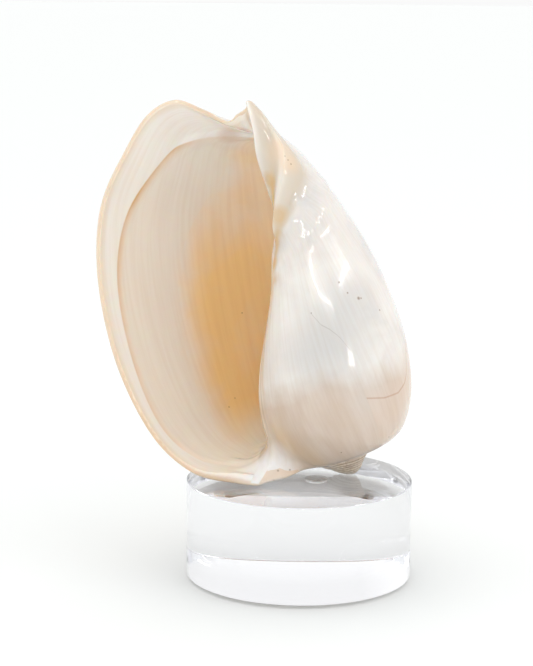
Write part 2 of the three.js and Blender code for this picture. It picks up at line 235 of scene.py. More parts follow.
def wall_at(whorls, line):
    grown_share = np.clip(whorls, 0, WALL_GROWS_WITHIN) / WALL_GROWS_WITHIN
    start = smooth_between(GLAZE_START, line)
    glaze = smooth_step(whorls, start, start + GLAZE_STEP_WHORLS)
    fade = 1 - smooth_step(whorls, start, start + WALL_GROWS_WITHIN)
    callus = CALLUS * np.exp(-((line - CALLUS_LINE) / CALLUS_LINES) ** 2)
    callus = callus * np.exp(-np.maximum(whorls, 0) / CALLUS_WHORLS)
    wall = LIP_WALL + (WALL - LIP_WALL) * grown_share + GLAZE_STEP * glaze * fade + callus
    return (wall - lip_roundness(whorls, line)) / np.maximum(1, whorls)


def inner_point(whorls, line):
    whorls, line = np.broadcast_arrays(np.asarray(whorls, float), np.asarray(line, float))
    return spiral_point(whorls, line) + inward(whorls, line) * wall_at(whorls, line)[..., None]


print("wall at the lip and behind it in mm:", wall_at(np.array([0.01, 0.3]), np.array([6.0, 6.0])).round(2))

# %% [markdown]
# ## Growth waves, cord and lowest fold
# Pauses in growth leave waves of a few hundredths of a millimetre, which only bend the
# highlights. A low cord runs beside the canal. The lowest of the three folds leaves the
# pillar and crosses the body, so it belongs to the outer surface: a ridge with a groove
# above it. All of it is a depth in millimetres that is added to the plain form.

# %% Relief of the outer surface
RELIEF = 0.028
# waves: how many in a whorl, how they drift from line to line, their share of the relief
STRAIGHT_WAVES = [(31, 1.1, 0.5), (53, -0.7, 0.35)]
WINDING_WAVES = (17, 2.3, 0.35)
DENT_WAVES = (9, 1.7, 0.6)
DENT_DRIFT = 2.9
# the polished strip behind the lip is plain; the relief starts between these ages
RELIEF_STARTS = (0.02, 0.06)
CORD_LINE = 9.8
CORD_WIDTH = 0.45
CORD_HEIGHT = 0.5
CORD_RELIEF = 5.0
# the ridge of the lowest fold on the body, as (age, line) points
FOLD_PATH = [(0.62, 10.7), (0.68, 10.68), (0.724, 10.65), (0.775, 10.5), (0.826, 10.36), (0.894, 10.18),
             (0.913, 9.87), (0.935, 9.5)]
FOLD_STEEP_LINES = 0.16
FOLD_GENTLE_LINES = 0.4
FOLD_GROOVE_LINES = 0.45
FOLD_CURVE = 1.5
FOLD_HEIGHT = 0.9
FOLD_GROOVE = 2.6


def third_fold(whorls, line):
    """A ridge with a groove above it, in millimetres."""
    ages, lines = np.array(FOLD_PATH).T
    away = line - np.interp(whorls, ages, lines)
    ridge = np.exp(-np.abs(away / np.where(away > 0, FOLD_STEEP_LINES, FOLD_GENTLE_LINES)) ** FOLD_CURVE)
    groove = smooth_step(away, 0, FOLD_GROOVE_LINES)
    present = smooth_step(whorls, ages[0], ages[1]) * (1 - smooth_step(whorls, ages[-2], ages[-1]))
    return present * (FOLD_GROOVE * groove - FOLD_HEIGHT * ridge)


def waves(whorls, count, drift, share):
    return share * np.sin(2 * np.pi * count * whorls + drift)


def growth_relief(whorls, line):
    """Low waves along the growth lines, in millimetres, stronger on the cord near the canal."""
    low = sum(waves(whorls, count, drift * line, share) for count, drift, share in STRAIGHT_WAVES)
    count, drift, share = WINDING_WAVES
    low = low + waves(whorls, count, drift * np.sin(line), share)
    count, drift, share = DENT_WAVES
    low = low + np.sin(DENT_DRIFT * line + count * whorls) * waves(whorls, count, drift * line, share)
    cord = np.exp(-((line - CORD_LINE) / CORD_WIDTH) ** 2)
    relief = RELIEF * low * (1 + CORD_RELIEF * cord) - CORD_HEIGHT * cord
    return smooth_step(whorls, *RELIEF_STARTS) * relief + third_fold(whorls, line)


def outer_point(whorls, line):
    whorls, line = np.broadcast_arrays(np.asarray(whorls, float), np.asarray(line, float))
    point = spiral_point(whorls, line)
    inset = lip_roundness(whorls, line) + growth_relief(whorls, line)
    return point + inward(whorls, line) * inset[..., None]


print("groove and ridge of the lowest fold in mm:", third_fold(0.8, np.array([11.0, 10.4])).round(2))

# %% [markdown]
# ## From a surface to a solid
# A shell could be drawn as one bent sheet, but its whorls meet and overlap, and a sheet would
# cut through itself. Here it is carved instead, the way a shell cutter sees it: the
# space between the outer surface and the axis is filled with four wedges, the hollow is
# taken out as one curved tube, and the central pillar is added. Blender's manifold boolean
# does the joins, so the result is one closed mesh.

# %% A grid of points and the faces between them
def grid_faces(rows, columns, closed=False):
    """Triangles of a grid whose points run row by row."""
    i = np.arange(rows - 1)[:, None]
    j = np.arange(columns if closed else columns - 1)[None, :]
    a = (i * columns + j).ravel()
    b = (i * columns + (j + 1) % columns).ravel()
    return np.concatenate([np.stack([a, b, b + columns], 1), np.stack([a, b + columns, a + columns], 1)])


def outward(points, faces):
    """The same faces, turned so that they point out of the closed body."""
    corner = points[faces]
    volume = np.einsum("ij,ij->i", corner[:, 0], np.cross(corner[:, 1], corner[:, 2])).sum()
    return faces if volume > 0 else faces[:, ::-1]


# every sampled point with its age in whorls, its spiral line and its face, for the colours
OUTSIDE, INSIDE, PILLAR_FACE, SPIRE_FACE = range(4)
known_points = []


def remember(points, age, line, face):
    points = points.reshape(-1, 3)
    columns = [np.broadcast_to(value, len(points)) for value in (age, line, face)]
    known_points.append(np.column_stack([points, *columns]))


def new_object(name, points, faces):
    mesh = bpy.data.meshes.new(name)
    mesh.from_pydata(points, [], faces)
    return put_in_scene(name, mesh)


def join_solids(base, other, operation):
    """Boolean of two closed meshes; the second one is used up."""
    step = base.modifiers.new("join", "BOOLEAN")
    step.object = other
    step.operation = operation
    step.solver = "MANIFOLD"
    graph = bpy.context.evaluated_depsgraph_get()
    joined = bpy.data.meshes.new_from_object(base.evaluated_get(graph))
    base.modifiers.clear()
    base.data = joined
    bpy.data.objects.remove(other)
    return base


print("triangles in a grid of 4 by 3 points:", len(grid_faces(4, 3)))

# %% [markdown]
# ## How finely the body is drawn
# The polished lip curves within a millimetre, so the rings of points stand close together
# there. Behind it, 192 rings for each whorl keep the highlights smooth. The four wedges
# overlap by a few rings, so that the joins between them leave no gap.

# %% Fill the body with wedges
LIP_TRAVEL = 530.0
LIP_RINGS = np.array([0.0, 0.08, 0.22, 0.42, 0.68, 0.95, 1.4, 2.0]) / LIP_TRAVEL
OUTER_STEP = 1 / 192
OUTER_LINE_STEP = 0.1
# first and last ring of each wedge
WEDGE_SPANS = [(0, 72), (64, 136), (128, 200), (192, 264)]
CANAL_LINE = 11.0
CANAL_FLOOR_LINE = 12.0
CANAL_END_LINE = 13.0
LOWEST_AXIS_FOOT = 3.0


def lines_across(first, last, step):
    """Places between two spiral lines, twice as close in the canal."""
    plain = np.arange(np.ceil(first / step + 0.01) * step, CANAL_LINE, step)
    canal = np.arange(CANAL_LINE, last - step / 4, step / 2)
    return np.concatenate([[first], plain, canal, [last]])


def axis_foot(whorls):
    suture, following = spiral_point(whorls, 0), spiral_point(whorls, 1)
    near, far = np.hypot(*suture[:2]), np.hypot(*following[:2])
    return max(suture[2] + (suture[2] - following[2]) * near / (far - near), LOWEST_AXIS_FOOT)


def wedge(name, ages, last_line):
    """Solid between the outer surface and the axis for a stretch of the spiral."""
    lines = lines_across(0.0, last_line, OUTER_LINE_STEP)
    skin = outer_point(ages[:, None], lines[None, :])
    rows, columns = skin.shape[:2]
    remember(skin, np.repeat(ages, columns), np.tile(lines, rows), OUTSIDE)
    head = spiral_point((ages[0] + ages[-1]) / 2, last_line)[2]
    foot = axis_foot(ages[0])
    axis = np.zeros((columns, 3))
    axis[:, 2] = foot + (head - foot) * lines / last_line
    start = rows * columns
    points = np.concatenate([skin.reshape(-1, 3), axis])
    j = np.arange(columns - 1)
    i = np.arange(rows - 1)
    last = (rows - 1) * columns
    faces = np.concatenate([
        grid_faces(rows, columns),
        np.stack([start + j, j + 1, j], 1),
        np.stack([start + j, start + j + 1, j + 1], 1),
        np.stack([start + j, last + j, last + j + 1], 1),
        np.stack([start + j, last + j + 1, start + j + 1], 1),
        np.stack([i * columns, (i + 1) * columns, np.full_like(i, start)], 1),
        np.stack([(i + 1) * columns - 1, np.full_like(i, start + columns - 1), (i + 2) * columns - 1], 1),
    ])
    return new_object(name, points, outward(points, faces))


def filled_body():
    body = None
    for number, (first, last) in enumerate(WEDGE_SPANS):
        ages = np.arange(first, last + 1) * OUTER_STEP
        if first == 0:
            ages = np.concatenate([LIP_RINGS, ages[1:]])
        part = wedge(f"wedge_{number}", ages, CANAL_END_LINE if first == 0 else CANAL_FLOOR_LINE)
        body = part if body is None else join_solids(body, part, "UNION")
    return body


shell = filled_body()
print("filled body:", len(shell.data.vertices), "points")

# %% [markdown]
# ## The hollow
# One curved tube is taken out. Its outer side is the inner face of the wall, and its inner
# side follows the whorl before, a hair outside it, as the thin glaze does that the snail
# lays over the old whorl. In front the tube runs on into the open air.

# %% Carve the hollow
HOLLOW_FROM = -0.04
HOLLOW_TO = 1.85
HOLLOW_FRONT_SECTIONS = 8
# first age, last age and step of the sections, close together near the lip
HOLLOW_STRETCHES = [(0.0055, 0.26, 0.0025), (0.26, 0.9, 0.008), (0.9, HOLLOW_TO, 0.02)]
HOLLOW_LINE_STEP = 0.125
HOLLOW_LAST_LINE = 12.9
FIRST_LINES = (1.15, 1.4)
PARIETAL_LINES = (2.4, 3.3)
FIRST_LINES_MOVE_WITHIN = 0.4
PARIETAL_POINTS = 64
PARIETAL_GLAZE = 0.06
CANAL_ROOF_SHARE = 0.5
CLEAR_IN_FRONT = 60.0
CLEAR_TO_LEFT = 30.0
HOLLOW_SHARES = lines_across(FIRST_LINES[0], HOLLOW_LAST_LINE, HOLLOW_LINE_STEP)
HOLLOW_SHARES = (HOLLOW_SHARES - FIRST_LINES[0]) / (HOLLOW_LAST_LINE - FIRST_LINES[0])


def hollow_ring(whorls):
    """One section of the hollow: the inner wall, the canal's roof, the whorl before."""
    age = max(whorls, 0.0)
    moved = min(age / FIRST_LINES_MOVE_WITHIN, 1.0)
    first = FIRST_LINES[0] + (FIRST_LINES[1] - FIRST_LINES[0]) * moved
    wall_lines = first + (HOLLOW_LAST_LINE - first) * HOLLOW_SHARES
    wall_side = inner_point(whorls, wall_lines)
    remember(wall_side, whorls, wall_lines, INSIDE)
    roof = wall_side[-1] * (CANAL_ROOF_SHARE, CANAL_ROOF_SHARE, 1.0)
    parietal = PARIETAL_LINES[0] + (PARIETAL_LINES[1] - PARIETAL_LINES[0]) * moved
    lines = np.linspace(LAST_LINE, parietal, PARIETAL_POINTS)
    old_side = spiral_point(whorls + 1, lines) - PARIETAL_GLAZE * inward(whorls + 1, lines)
    remember(old_side, whorls + 1, lines, OUTSIDE)
    return np.concatenate([wall_side, roof[None], old_side])


def tube(name, rings):
    """Closed body from rings, with a fan on both ends."""
    rows, columns = len(rings), len(rings[0])
    points = np.concatenate([np.concatenate(rings), [rings[0].mean(0), rings[-1].mean(0)]])
    j = np.arange(columns)
    following = (j + 1) % columns
    last = (rows - 1) * columns
    faces = np.concatenate([
        grid_faces(rows, columns, closed=True),
        np.stack([following, j, np.full_like(j, rows * columns)], 1),
        np.stack([last + j, last + following, np.full_like(j, rows * columns + 1)], 1),
    ])
    return new_object(name, points, outward(points, faces))


def hollow_ages():
    near = np.linspace(HOLLOW_FROM, 0, HOLLOW_FRONT_SECTIONS, endpoint=False)
    return np.concatenate([near, LIP_RINGS, *[np.arange(*stretch) for stretch in HOLLOW_STRETCHES]])


def hollow():
    rings = [hollow_ring(age) for age in hollow_ages()]
    first = rings[0] - [0, CLEAR_IN_FRONT, 0]
    first[len(HOLLOW_SHARES) + 1:, 0] -= CLEAR_TO_LEFT
    return tube("hollow", [first, *rings])


shell = join_solids(shell, hollow(), "DIFFERENCE")
print("after carving:", len(shell.data.vertices), "points")

# %% [markdown]
# ## The pillar and its pleats
# The inner edge of the mouth twists round the axis into a pillar. Three folds, called
# pleats, wind up it. They are what the animal holds on to, and in a polished shell they
# catch the light as thin curved ridges.

# %% Pillar: height, shift to the right, shift to the front, radius (millimetres)
PILLAR = np.array([
    [12, 0, 0, 3], [40, 0, 0, 4.5], [80, 0, 0, 5.5], [98, -1.2, 4, 5.2], [108, 2.0, 5, 5.4],
    [118, 3.2, 5.5, 6.7], [128, 4.9, 3.2, 6.9], [140, 6, 1.5, 7.6], [150, 3.9, 0.3, 6.2],
    [160, 1.2, 0, 4.1], [168.6, -1.2, 0, 2.7], [176.7, -4, 0, 0.6],
])
PILLAR_VISIBLE_FROM = 88.0
PILLAR_FINE_STEP = 0.55
PILLAR_COARSE_STEP = 4.0
PILLAR_FRONT_STEP_DEG = 2.0
PILLAR_BACK_STEP_DEG = 8.0
PILLAR_SEAM_DEG = -230
# each fold: the height where its ridge meets the left edge, degrees it turns to the front
# for each millimetre up, and its size in millimetres
PLEATS = [(148, 2.2, 4.0), (117, 3.0, 3.0), (105.5, 5.8, 3.0)]
PLEAT_STEEP_DEG = 11.0
PLEAT_GENTLE_DEG = 38.0
PLEAT_FULL_SIZE_RADIUS = 5.5
PLEAT_FADE = 0.5
PLEAT_SIDE_DEG = 135.0
PLEAT_CURVE = 1.5
GROOVE_AWAY_DEG = -24.0
GROOVE_WIDTH_DEG = 16.0
GROOVE_LEFT_DEG = -168.0
GROOVE_SIDE_DEG = 30.0


def pillar_at(height):
    rows = np.searchsorted(PILLAR[:, 0], height).clip(1, len(PILLAR) - 1)
    share = (height - PILLAR[rows - 1, 0]) / (PILLAR[rows, 0] - PILLAR[rows - 1, 0])
    return [smooth_between(PILLAR[:, column], rows - 1 + share) for column in (1, 2, 3)]


def past_ridge(angle, height, left_height, rise):
    """Degrees to the right of a fold's ridge, which turns to the front as it rises."""
    ridge = -180 + (height - left_height) * rise
    return (angle - ridge + 180) % 360 - 180


def pleat_bulge(angle, height):
    """Height in millimetres of folds with a steep left side and a gentle right side."""
    bulge = np.zeros(np.broadcast(angle, height).shape)
    for left_height, rise, size in PLEATS:
        away = past_ridge(angle, height, left_height, rise)
        width = np.where(away < 0, PLEAT_STEEP_DEG, PLEAT_GENTLE_DEG)
        bulge = np.maximum(bulge, size * np.exp(-np.abs(away / width) ** PLEAT_CURVE))
    return bulge * smooth_step(np.cos(np.radians(angle + PLEAT_SIDE_DEG)), -PLEAT_FADE, PLEAT_FADE)


def groove_painted_shade(angle, height):
    """1 in the groove just left of a fold's ridge, where it turns out of sight and amber painted shade is
    laid.
    """
    amber = np.zeros(np.broadcast(angle, height).shape)
    for left_height, rise, _ in PLEATS[1:]:
        away = past_ridge(angle, height, left_height, rise)
        amber = np.maximum(amber, np.exp(-((away - GROOVE_AWAY_DEG) / GROOVE_WIDTH_DEG) ** 2))
    return amber * np.exp(-((angle - GROOVE_LEFT_DEG) / GROOVE_SIDE_DEG) ** 2)


def pillar():
    coarse = np.arange(PILLAR[0, 0], PILLAR_VISIBLE_FROM, PILLAR_COARSE_STEP)
    fine = np.arange(PILLAR_VISIBLE_FROM, PILLAR[-1, 0], PILLAR_FINE_STEP)
    height = np.concatenate([coarse, fine, PILLAR[-1:, 0]])[:, None]
    angle = np.concatenate([np.arange(PILLAR_SEAM_DEG, 0, PILLAR_FRONT_STEP_DEG),
                            np.arange(0, PILLAR_SEAM_DEG + 360, PILLAR_BACK_STEP_DEG)])
    shift, front, radius = pillar_at(height)
    bulge = pleat_bulge(angle[None, :], height)
    reach = radius + np.minimum(1, radius / PLEAT_FULL_SIZE_RADIUS) * bulge
    turn = np.radians(angle)[None, :]
    points = np.stack([shift + reach * np.cos(turn), reach * np.sin(turn) - front, height + 0 * turn], -1)
    # a pillar point keeps its fold height as its age and its share of the amber painted shade in the grooves
    # as its line
    remember(points, bulge.ravel() / PLEATS[0][2], groove_painted_shade(angle[None, :], height).ravel(), PILLAR_FACE)
    return tube("pillar", list(points))


shell = join_solids(shell, pillar(), "UNION")
print("with the pillar:", len(shell.data.vertices), "points")

# %% [markdown]
# ## The spire
# The oldest whorls sit at the tip. They were not polished: they are chalky grey-brown, with
# growth bands and fine grit, and show below the glossy body as a blunt cone. A cone with
# one low step and fine ribs is enough, because little of it shows.

# %% Worn spire
SPIRE_RADIUS = 12.0
SPIRE_TIP = -1.25
SPIRE_RIM = 7.0
SPIRE_CURVE = 1.5
SPIRE_TIP_SHIFT = 4.0
SPIRE_TOP = 15.0
# places on the cone are shares of its radius
SPIRE_FIRST_RING = 0.03
SPIRE_STEP_SHARE = 0.6
SPIRE_STEP_RISE = 0.02
SPIRE_STEP_LENGTH = 0.05
SPIRE_STEP_HEIGHT = 0.7
SPIRE_RINGS = 56
SPIRE_SEGMENTS = 168
# ribs round the cone and along it: height in millimetres, how many, how they wind
SPIRE_ROUND_RIBS = (0.1, 60, 2)
SPIRE_LONG_RIBS = (0.07, 31, 9)
SPIRE_RIBS_FADE = 4


def spire_ribs(share, turn):
    height, count, wind = SPIRE_ROUND_RIBS
    ribs = height * np.sin(share * count + wind * np.sin(turn * wind))
    height, count, wind = SPIRE_LONG_RIBS
    return (ribs + height * np.sin(turn * count + wind * share)) * np.minimum(1, share * SPIRE_RIBS_FADE)


def spire():
    share = np.linspace(SPIRE_FIRST_RING, 1, SPIRE_RINGS)[:, None]
    turn = (2 * np.pi * np.arange(SPIRE_SEGMENTS) / SPIRE_SEGMENTS)[None, :]
    rise = smooth_step(share, SPIRE_STEP_SHARE - SPIRE_STEP_RISE, SPIRE_STEP_SHARE + SPIRE_STEP_RISE)
    step = SPIRE_STEP_HEIGHT * (rise - smooth_step(share, SPIRE_STEP_SHARE + SPIRE_STEP_LENGTH, 1))
    height = SPIRE_TIP + (SPIRE_RIM - SPIRE_TIP) * share ** SPIRE_CURVE + step + spire_ribs(share, turn)
    shift = SPIRE_TIP_SHIFT * (1 - share)
    points = np.stack([shift + SPIRE_RADIUS * share * np.cos(turn), SPIRE_RADIUS * share * np.sin(turn),
                       height], -1)
    remember(points, share.repeat(SPIRE_SEGMENTS), 0.0, SPIRE_FACE)
    top = points[-1].copy()
    top[:, 2] = SPIRE_TOP
    return tube("spire", [*points, top])


shell = join_solids(shell, spire(), "UNION")
print("with the spire:", len(shell.data.vertices), "points")

# %% [markdown]
# ## One clean mesh
# Carving leaves specks smaller than a grain of sand and hard corners where two surfaces
# meet. The specks are dropped, and the corners are relaxed, because glaze and
# polishing have rounded them on the real shell. The rounded lip stays as it is.

# %% Keep the largest piece
def mesh_arrays(thing):
    mesh = thing.data
    mesh.calc_loop_triangles()
    points = np.empty(len(mesh.vertices) * 3)
    mesh.vertices.foreach_get("co", points)
    faces = np.empty(len(mesh.loop_triangles) * 3, int)
    mesh.loop_triangles.foreach_get("vertices", faces)
    return points.reshape(-1, 3), faces.reshape(-1, 3)


def largest_piece(points, faces):
    """Spreads the lowest point number over each connected piece and keeps the largest."""
    label = np.arange(len(points))
    while True:
        low = label[faces].min(1)
        spread = label.copy()
        np.minimum.at(spread, faces.ravel(), low.repeat(3))
        spread = spread[spread]
        if (spread == label).all():
            break
        label = spread
    names, counts = np.unique(label[faces[:, 0]], return_counts=True)
    faces = faces[label[faces[:, 0]] == names[counts.argmax()]]
    used, faces = np.unique(faces, return_inverse=True)
    return points[used], faces.reshape(-1, 3)


points, faces = largest_piece(*mesh_arrays(shell))
print("points and triangles of the shell:", len(points), len(faces))

# %% [markdown]
# ## Age and line of every point
# The joins have made new points and lost count of the old ones. Each point of the clean
# mesh takes the age, the line and the face of the nearest point that was sampled. The
# rounding needs them to spare the lip, and the finish will follow them.

# %% Age, line and face of every point
def known_at(points):
    """Values of the nearest sampled point."""
    known = np.concatenate(known_points)
    tree = KDTree(len(known))
    for index, place in enumerate(known[:, :3].tolist()):
        tree.insert(place, index)
    tree.balance()
    nearest = [tree.find(place)[1] for place in points.tolist()]
    return known[nearest, 3:].T


age, line, face = known_at(points)
on_growth = (face == OUTSIDE) | (face == INSIDE)
print("oldest whorl in the mesh:", round(float(age[on_growth].max()), 2))

# %% [markdown]
# ## Rounded corners
# A wheel can't leave a hard inner corner, and glaze fills it too. Points near a corner are
# moved toward the mean of their neighbours again and again, less the further they are from
# it. The thick soft glaze where the lower lip meets the body gets the same treatment.

# %% Round the corners where surfaces meet
CREASE_COSINE = math.cos(math.radians(25))
CREASE_SPREAD = 7
CREASE_SPREAD_GAIN = 1.4
CREASE_ROUNDS = 50
LIP_KEPT_SHARP = 0.02
LOWEST_SHARP_LINE = 1.4
CALLUS_CENTRE = (-33.5, -19.0, 14.5)
CALLUS_RADIUS = 8.0
CALLUS_ROUNDS = 60


def edges_of(faces):
    """Both ends of every side of every triangle."""
    return np.concatenate([faces[:, [0, 1]], faces[:, [1, 2]], faces[:, [2, 0]]])


def neighbour_mean(values, edges):
    """Mean over the neighbours of each point of a closed mesh."""
    size = len(values)
    count = np.bincount(edges[:, 0], minlength=size)
    sums = [np.bincount(edges[:, 0], column[edges[:, 1]], size) for column in values.reshape(size, -1).T]
    return (np.stack(sums, 1) / count[:, None]).reshape(values.shape)


def crease_points(points, faces, edges):
    """1 at points on an edge with a hard corner, 0 elsewhere."""
    corner = points[faces]
    normal = np.cross(corner[:, 1] - corner[:, 0], corner[:, 2] - corner[:, 0])
    normal /= np.maximum(np.linalg.norm(normal, axis=1, keepdims=True), 1e-12)
    owner = np.tile(np.arange(len(faces)), 3)
    key = edges[:, 0] * len(points) + edges[:, 1]
    order = np.argsort(key)
    twin = order[np.searchsorted(key[order], edges[:, 1] * len(points) + edges[:, 0]) % len(key)]
    hard = (normal[owner] * normal[owner[twin]]).sum(1) < CREASE_COSINE
    mark = np.zeros(len(points))
    mark[edges[hard].ravel()] = 1
    return mark


def softened(points, edges, amount, rounds):
    """Moves points toward their neighbours by the given amounts, round after round."""
    for _ in range(rounds):
        points = points + amount[:, None] * (neighbour_mean(points, edges) - points)
    return points


edges = edges_of(faces)
near_lip = on_growth & (age < LIP_KEPT_SHARP) & (line > LOWEST_SHARP_LINE) & (line < CANAL_LINE)
amount = crease_points(points, faces, edges)
for _ in range(CREASE_SPREAD):
    amount = np.maximum(amount, neighbour_mean(amount, edges) * CREASE_SPREAD_GAIN).clip(0, 1)
points = softened(points, edges, amount * ~near_lip, CREASE_ROUNDS)
from_callus = np.linalg.norm(points - CALLUS_CENTRE, axis=1)
points = softened(points, edges, np.exp(-(from_callus / CALLUS_RADIUS) ** 2) * ~near_lip, CALLUS_ROUNDS)
print("points near the lip edge:", int(near_lip.sum()))

# %% [markdown]
# ## Borders and patches
# Near the spire the body is beige and above that white, with a stain, a hairline and warm
# and grey clouds. They follow growth, so they are drawn as borders and soft patches over
# age and line, and they bend with the shell on every side.

# %% Borders, stains and patches
# borders on the outside, as places between spiral lines at ages in whorls
WHITE_EDGE = [(0.3, 4.7), (0.55, 4.5), (0.6, 4.5), (0.65, 4.7), (0.73, 4.8), (0.77, 5.15), (0.83, 5.25),
              (1.0, 5.1)]
STAIN_EDGE = [(0.5, 5.1), (0.52, 5.0), (0.55, 4.7), (0.57, 4.4), (0.585, 4.05), (0.6, 3.86), (0.63, 3.72),
              (0.67, 3.82), (0.71, 4.1)]
HAIRLINE = [(0.7, 5.5), (0.715, 6.1), (0.73, 6.4), (0.745, 6.6), (0.765, 7.1)]
SPIRE_EDGE = [(0.0, 0.0), (0.4, 0.6), (0.6, 1.3), (0.75, 1.6), (0.84, 1.45), (0.9, 1.8), (0.93, 0.4),
              (1.0, 0.2)]
STAIN_AGES = (0.4, 0.71)
HAIRLINE_AGES = (0.7, 0.765)
# below this age, where the body turns out of sight, the stain's border runs off and closes
STAIN_CLOSES_FROM = 0.5
STAIN_CLOSES_WITHIN = 0.08
STAIN_CLOSES = 6.0
FAR_LINES = 9.0
# warm patches: age, line, half size in whorls, half size in lines, strength
WARM_PATCHES = [(0.885, 2.4, 0.03, 0.9, 0.35), (0.93, 3.4, 0.03, 0.8, 0.45), (0.9, 9.0, 0.035, 0.35, 0.5),
                (0.93, 8.3, 0.02, 0.5, 0.35), (0.56, 3.6, 0.05, 0.8, 0.12),
                # the last two are amber painted shade beside the grooves of the pillar
                (0.86, 10.45, 0.03, 0.25, 0.7), (0.905, 9.9, 0.02, 0.35, 0.7)]
GREY_PATCHES = [(0.72, 6.2, 0.07, 1.1, 0.8), (0.8, 5.9, 0.05, 0.9, 0.5), (0.66, 6.8, 0.05, 0.8, 0.4),
                (0.7, 4.0, 0.05, 0.9, 0.35)]


def past_border(border, age, line):
    ages, lines = np.array(border).T
    return line - np.interp(age, ages, lines)


def outside_between(ages, lines):
    """The lines past a border between two ages on the outside, and far from it elsewhere."""
    return np.where(outside & (age > ages[0]) & (age < ages[1]), lines, FAR_LINES)


def patches(table, age, line):
    """Soft round patches on the growing surface, added up."""
    total = np.zeros(len(age))
    for at_age, at_line, whorls, lines, strength in table:
        total += strength * np.exp(-((age - at_age) / whorls) ** 2 - ((line - at_line) / lines) ** 2)
    return total.clip(0, 1)


outside = face == OUTSIDE
past_stain = past_border(STAIN_EDGE, age, line)
past_stain = past_stain + STAIN_CLOSES * smooth_step(STAIN_CLOSES_FROM - age, 0, STAIN_CLOSES_WITHIN)
past_stain = outside_between(STAIN_AGES, past_stain)
past_hairline = outside_between(HAIRLINE_AGES, past_border(HAIRLINE, age, line))
print("points inside the stain:", int((past_stain < 0).sum()))

# %% [markdown]
# ## Values for the finish
# Everything that the finish will ask of a point is worked out once and stored in the mesh:
# the millimetres behind the lip and behind the start of the glaze, the depth of the amber,
# and which points lie on the pillar or on the worn spire.

# %% Values of every point
# how deep the inner amber starts and how strong it is, for each spiral line
AMBER_START = np.array([0.1, 0.1, 0.1, 0.115, 0.125, 0.13, 0.14, 0.165, 0.2, 0.2, 0.22, 0.2, 0.2, 0.2])
AMBER_STRENGTH = np.array([0.1, 0.2, 0.45, 0.8, 1.0, 1.0, 1.0, 0.6, 0.5, 0.5, 0.5, 0.4, 0.4, 0.4])
AMBER_SOFTNESS = 0.035
# low on the pillar the body's white glaze reaches over it, right of a slanting border
GLAZE_FOOT = (-5.4, 112.6)
GLAZE_SLANT = 0.86
GLAZE_FADE = 2.5
GLAZE_TOP = 130.0
LIP_MEASURED_TO = 0.5
FAR_MM = 200.0
PILLAR_BLUR = 14
RIDGE_BLUR = 6
SPIRE_BLUR = 2


def smoothed(values, rounds):
    for _ in range(rounds):
        values = neighbour_mean(values, edges)
    return values


on_pillar = face == PILLAR_FACE
lip_speed = growth_speed(np.zeros_like(line), line)
lip_mm = np.where(on_growth & (age < LIP_MEASURED_TO), age.clip(0) * lip_speed, FAR_MM)
past_glaze = points[:, 0] - GLAZE_FOOT[0] - (points[:, 2] - GLAZE_FOOT[1]) * GLAZE_SLANT
below_top = 1 - smooth_step(points[:, 2], GLAZE_TOP - GLAZE_FADE, GLAZE_TOP)
glaze_over = smooth_step(past_glaze, 0, GLAZE_FADE) * below_top
amber_start = smooth_between(AMBER_START, line.clip(0, LAST_LINE))
amber = (smooth_step(age, amber_start - AMBER_SOFTNESS, amber_start + AMBER_SOFTNESS)
         * smooth_between(AMBER_STRENGTH, line.clip(0, LAST_LINE)))
unpolished = (face == SPIRE_FACE) | outside & (age < 1) & (past_border(SPIRE_EDGE, age, line) < 0)
values = {
    "age": np.where(on_growth, age, 1.0),
    "line": np.where(on_growth, line, 0.0),
    "inside": (face == INSIDE).astype(float),
    "pillar": smoothed(on_pillar * (1 - glaze_over), PILLAR_BLUR),
    # ridge: how high a point stands on a fold, which darkens the fold's foot as painted shade
    "ridge": smoothed(np.where(on_pillar, age, 0.0), RIDGE_BLUR),
    # groove: share of the amber painted shade in the grooves beside the folds
    "groove": smoothed(np.where(on_pillar, line, 0.0), RIDGE_BLUR),
    "spire": smoothed(unpolished.astype(float), SPIRE_BLUR),
    "amber": np.where(face == INSIDE, amber, np.where(outside, patches(WARM_PATCHES, age, line), 0.0)),
    "grey": np.where(outside, patches(GREY_PATCHES, age, line), 0.0),
    "past_white": np.where(on_pillar, 1.0, past_border(WHITE_EDGE, age, line)),
    "past_stain": past_stain,
    "past_hairline": past_hairline,
    "glaze_mm": np.where(face == INSIDE, lip_mm - smooth_between(GLAZE_START, line) * lip_speed, FAR_MM),
    "lip_mm": lip_mm,
}
print("values on the mesh:", list(values))

# %% [markdown]
# ## Into place
# The shell leans 14 degrees to its left and stands on the tip of its spire, with the lower
# lip just above the disc. The carved object has done its work, and the finished mesh takes
# its place with all its values.

# %% Build the finished mesh
SHELL_LEAN_DEG = -14.0
SHELL_PLACE = (41.0, 2.75, 45.7)


def placed(points):
    turn = math.radians(SHELL_LEAN_DEG)
    x = points[:, 0] * math.cos(turn) + points[:, 2] * math.sin(turn)
    z = points[:, 2] * math.cos(turn) - points[:, 0] * math.sin(turn)
    return (np.stack([x, points[:, 1], z], 1) + SHELL_PLACE) * MM


def finished_mesh(name, points, faces, values):
    thing = new_object(name, points, faces)
    thing.data.shade_smooth()
    for key, column in values.items():
        attribute = thing.data.attributes.new(key, "FLOAT", "POINT")
        attribute.data.foreach_set("value", column.astype(np.float32))
    return thing


bpy.data.objects.remove(shell)
shell = finished_mesh("volute_shell", placed(points), faces, values)
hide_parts("shell")
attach(shell, "root")
print("shell size in mm:", [round(v / MM, 1) for v in shell.dimensions])

# %% [markdown]
# ## Acrylic disc and bumper feet
# The disc is turned from a cast acrylic rod and polished on every face, with a tiny
# broken edge. Acrylic has an index of refraction of 1.49. The floor, the shell and the lower
# edge show through it bent, so its true form matters more than any colour.

# %% Turned pieces
DISC_CENTRE = (20.0, -6.25)
DISC_RADIUS = 50.8
DISC_BOTTOM = 1.8
DISC_TOP = 45.4
DISC_BEVEL = 0.5
FOOT_RADIUS = 5.0
FOOT_HEIGHT = 1.5
FOOT_BEVEL = 0.3
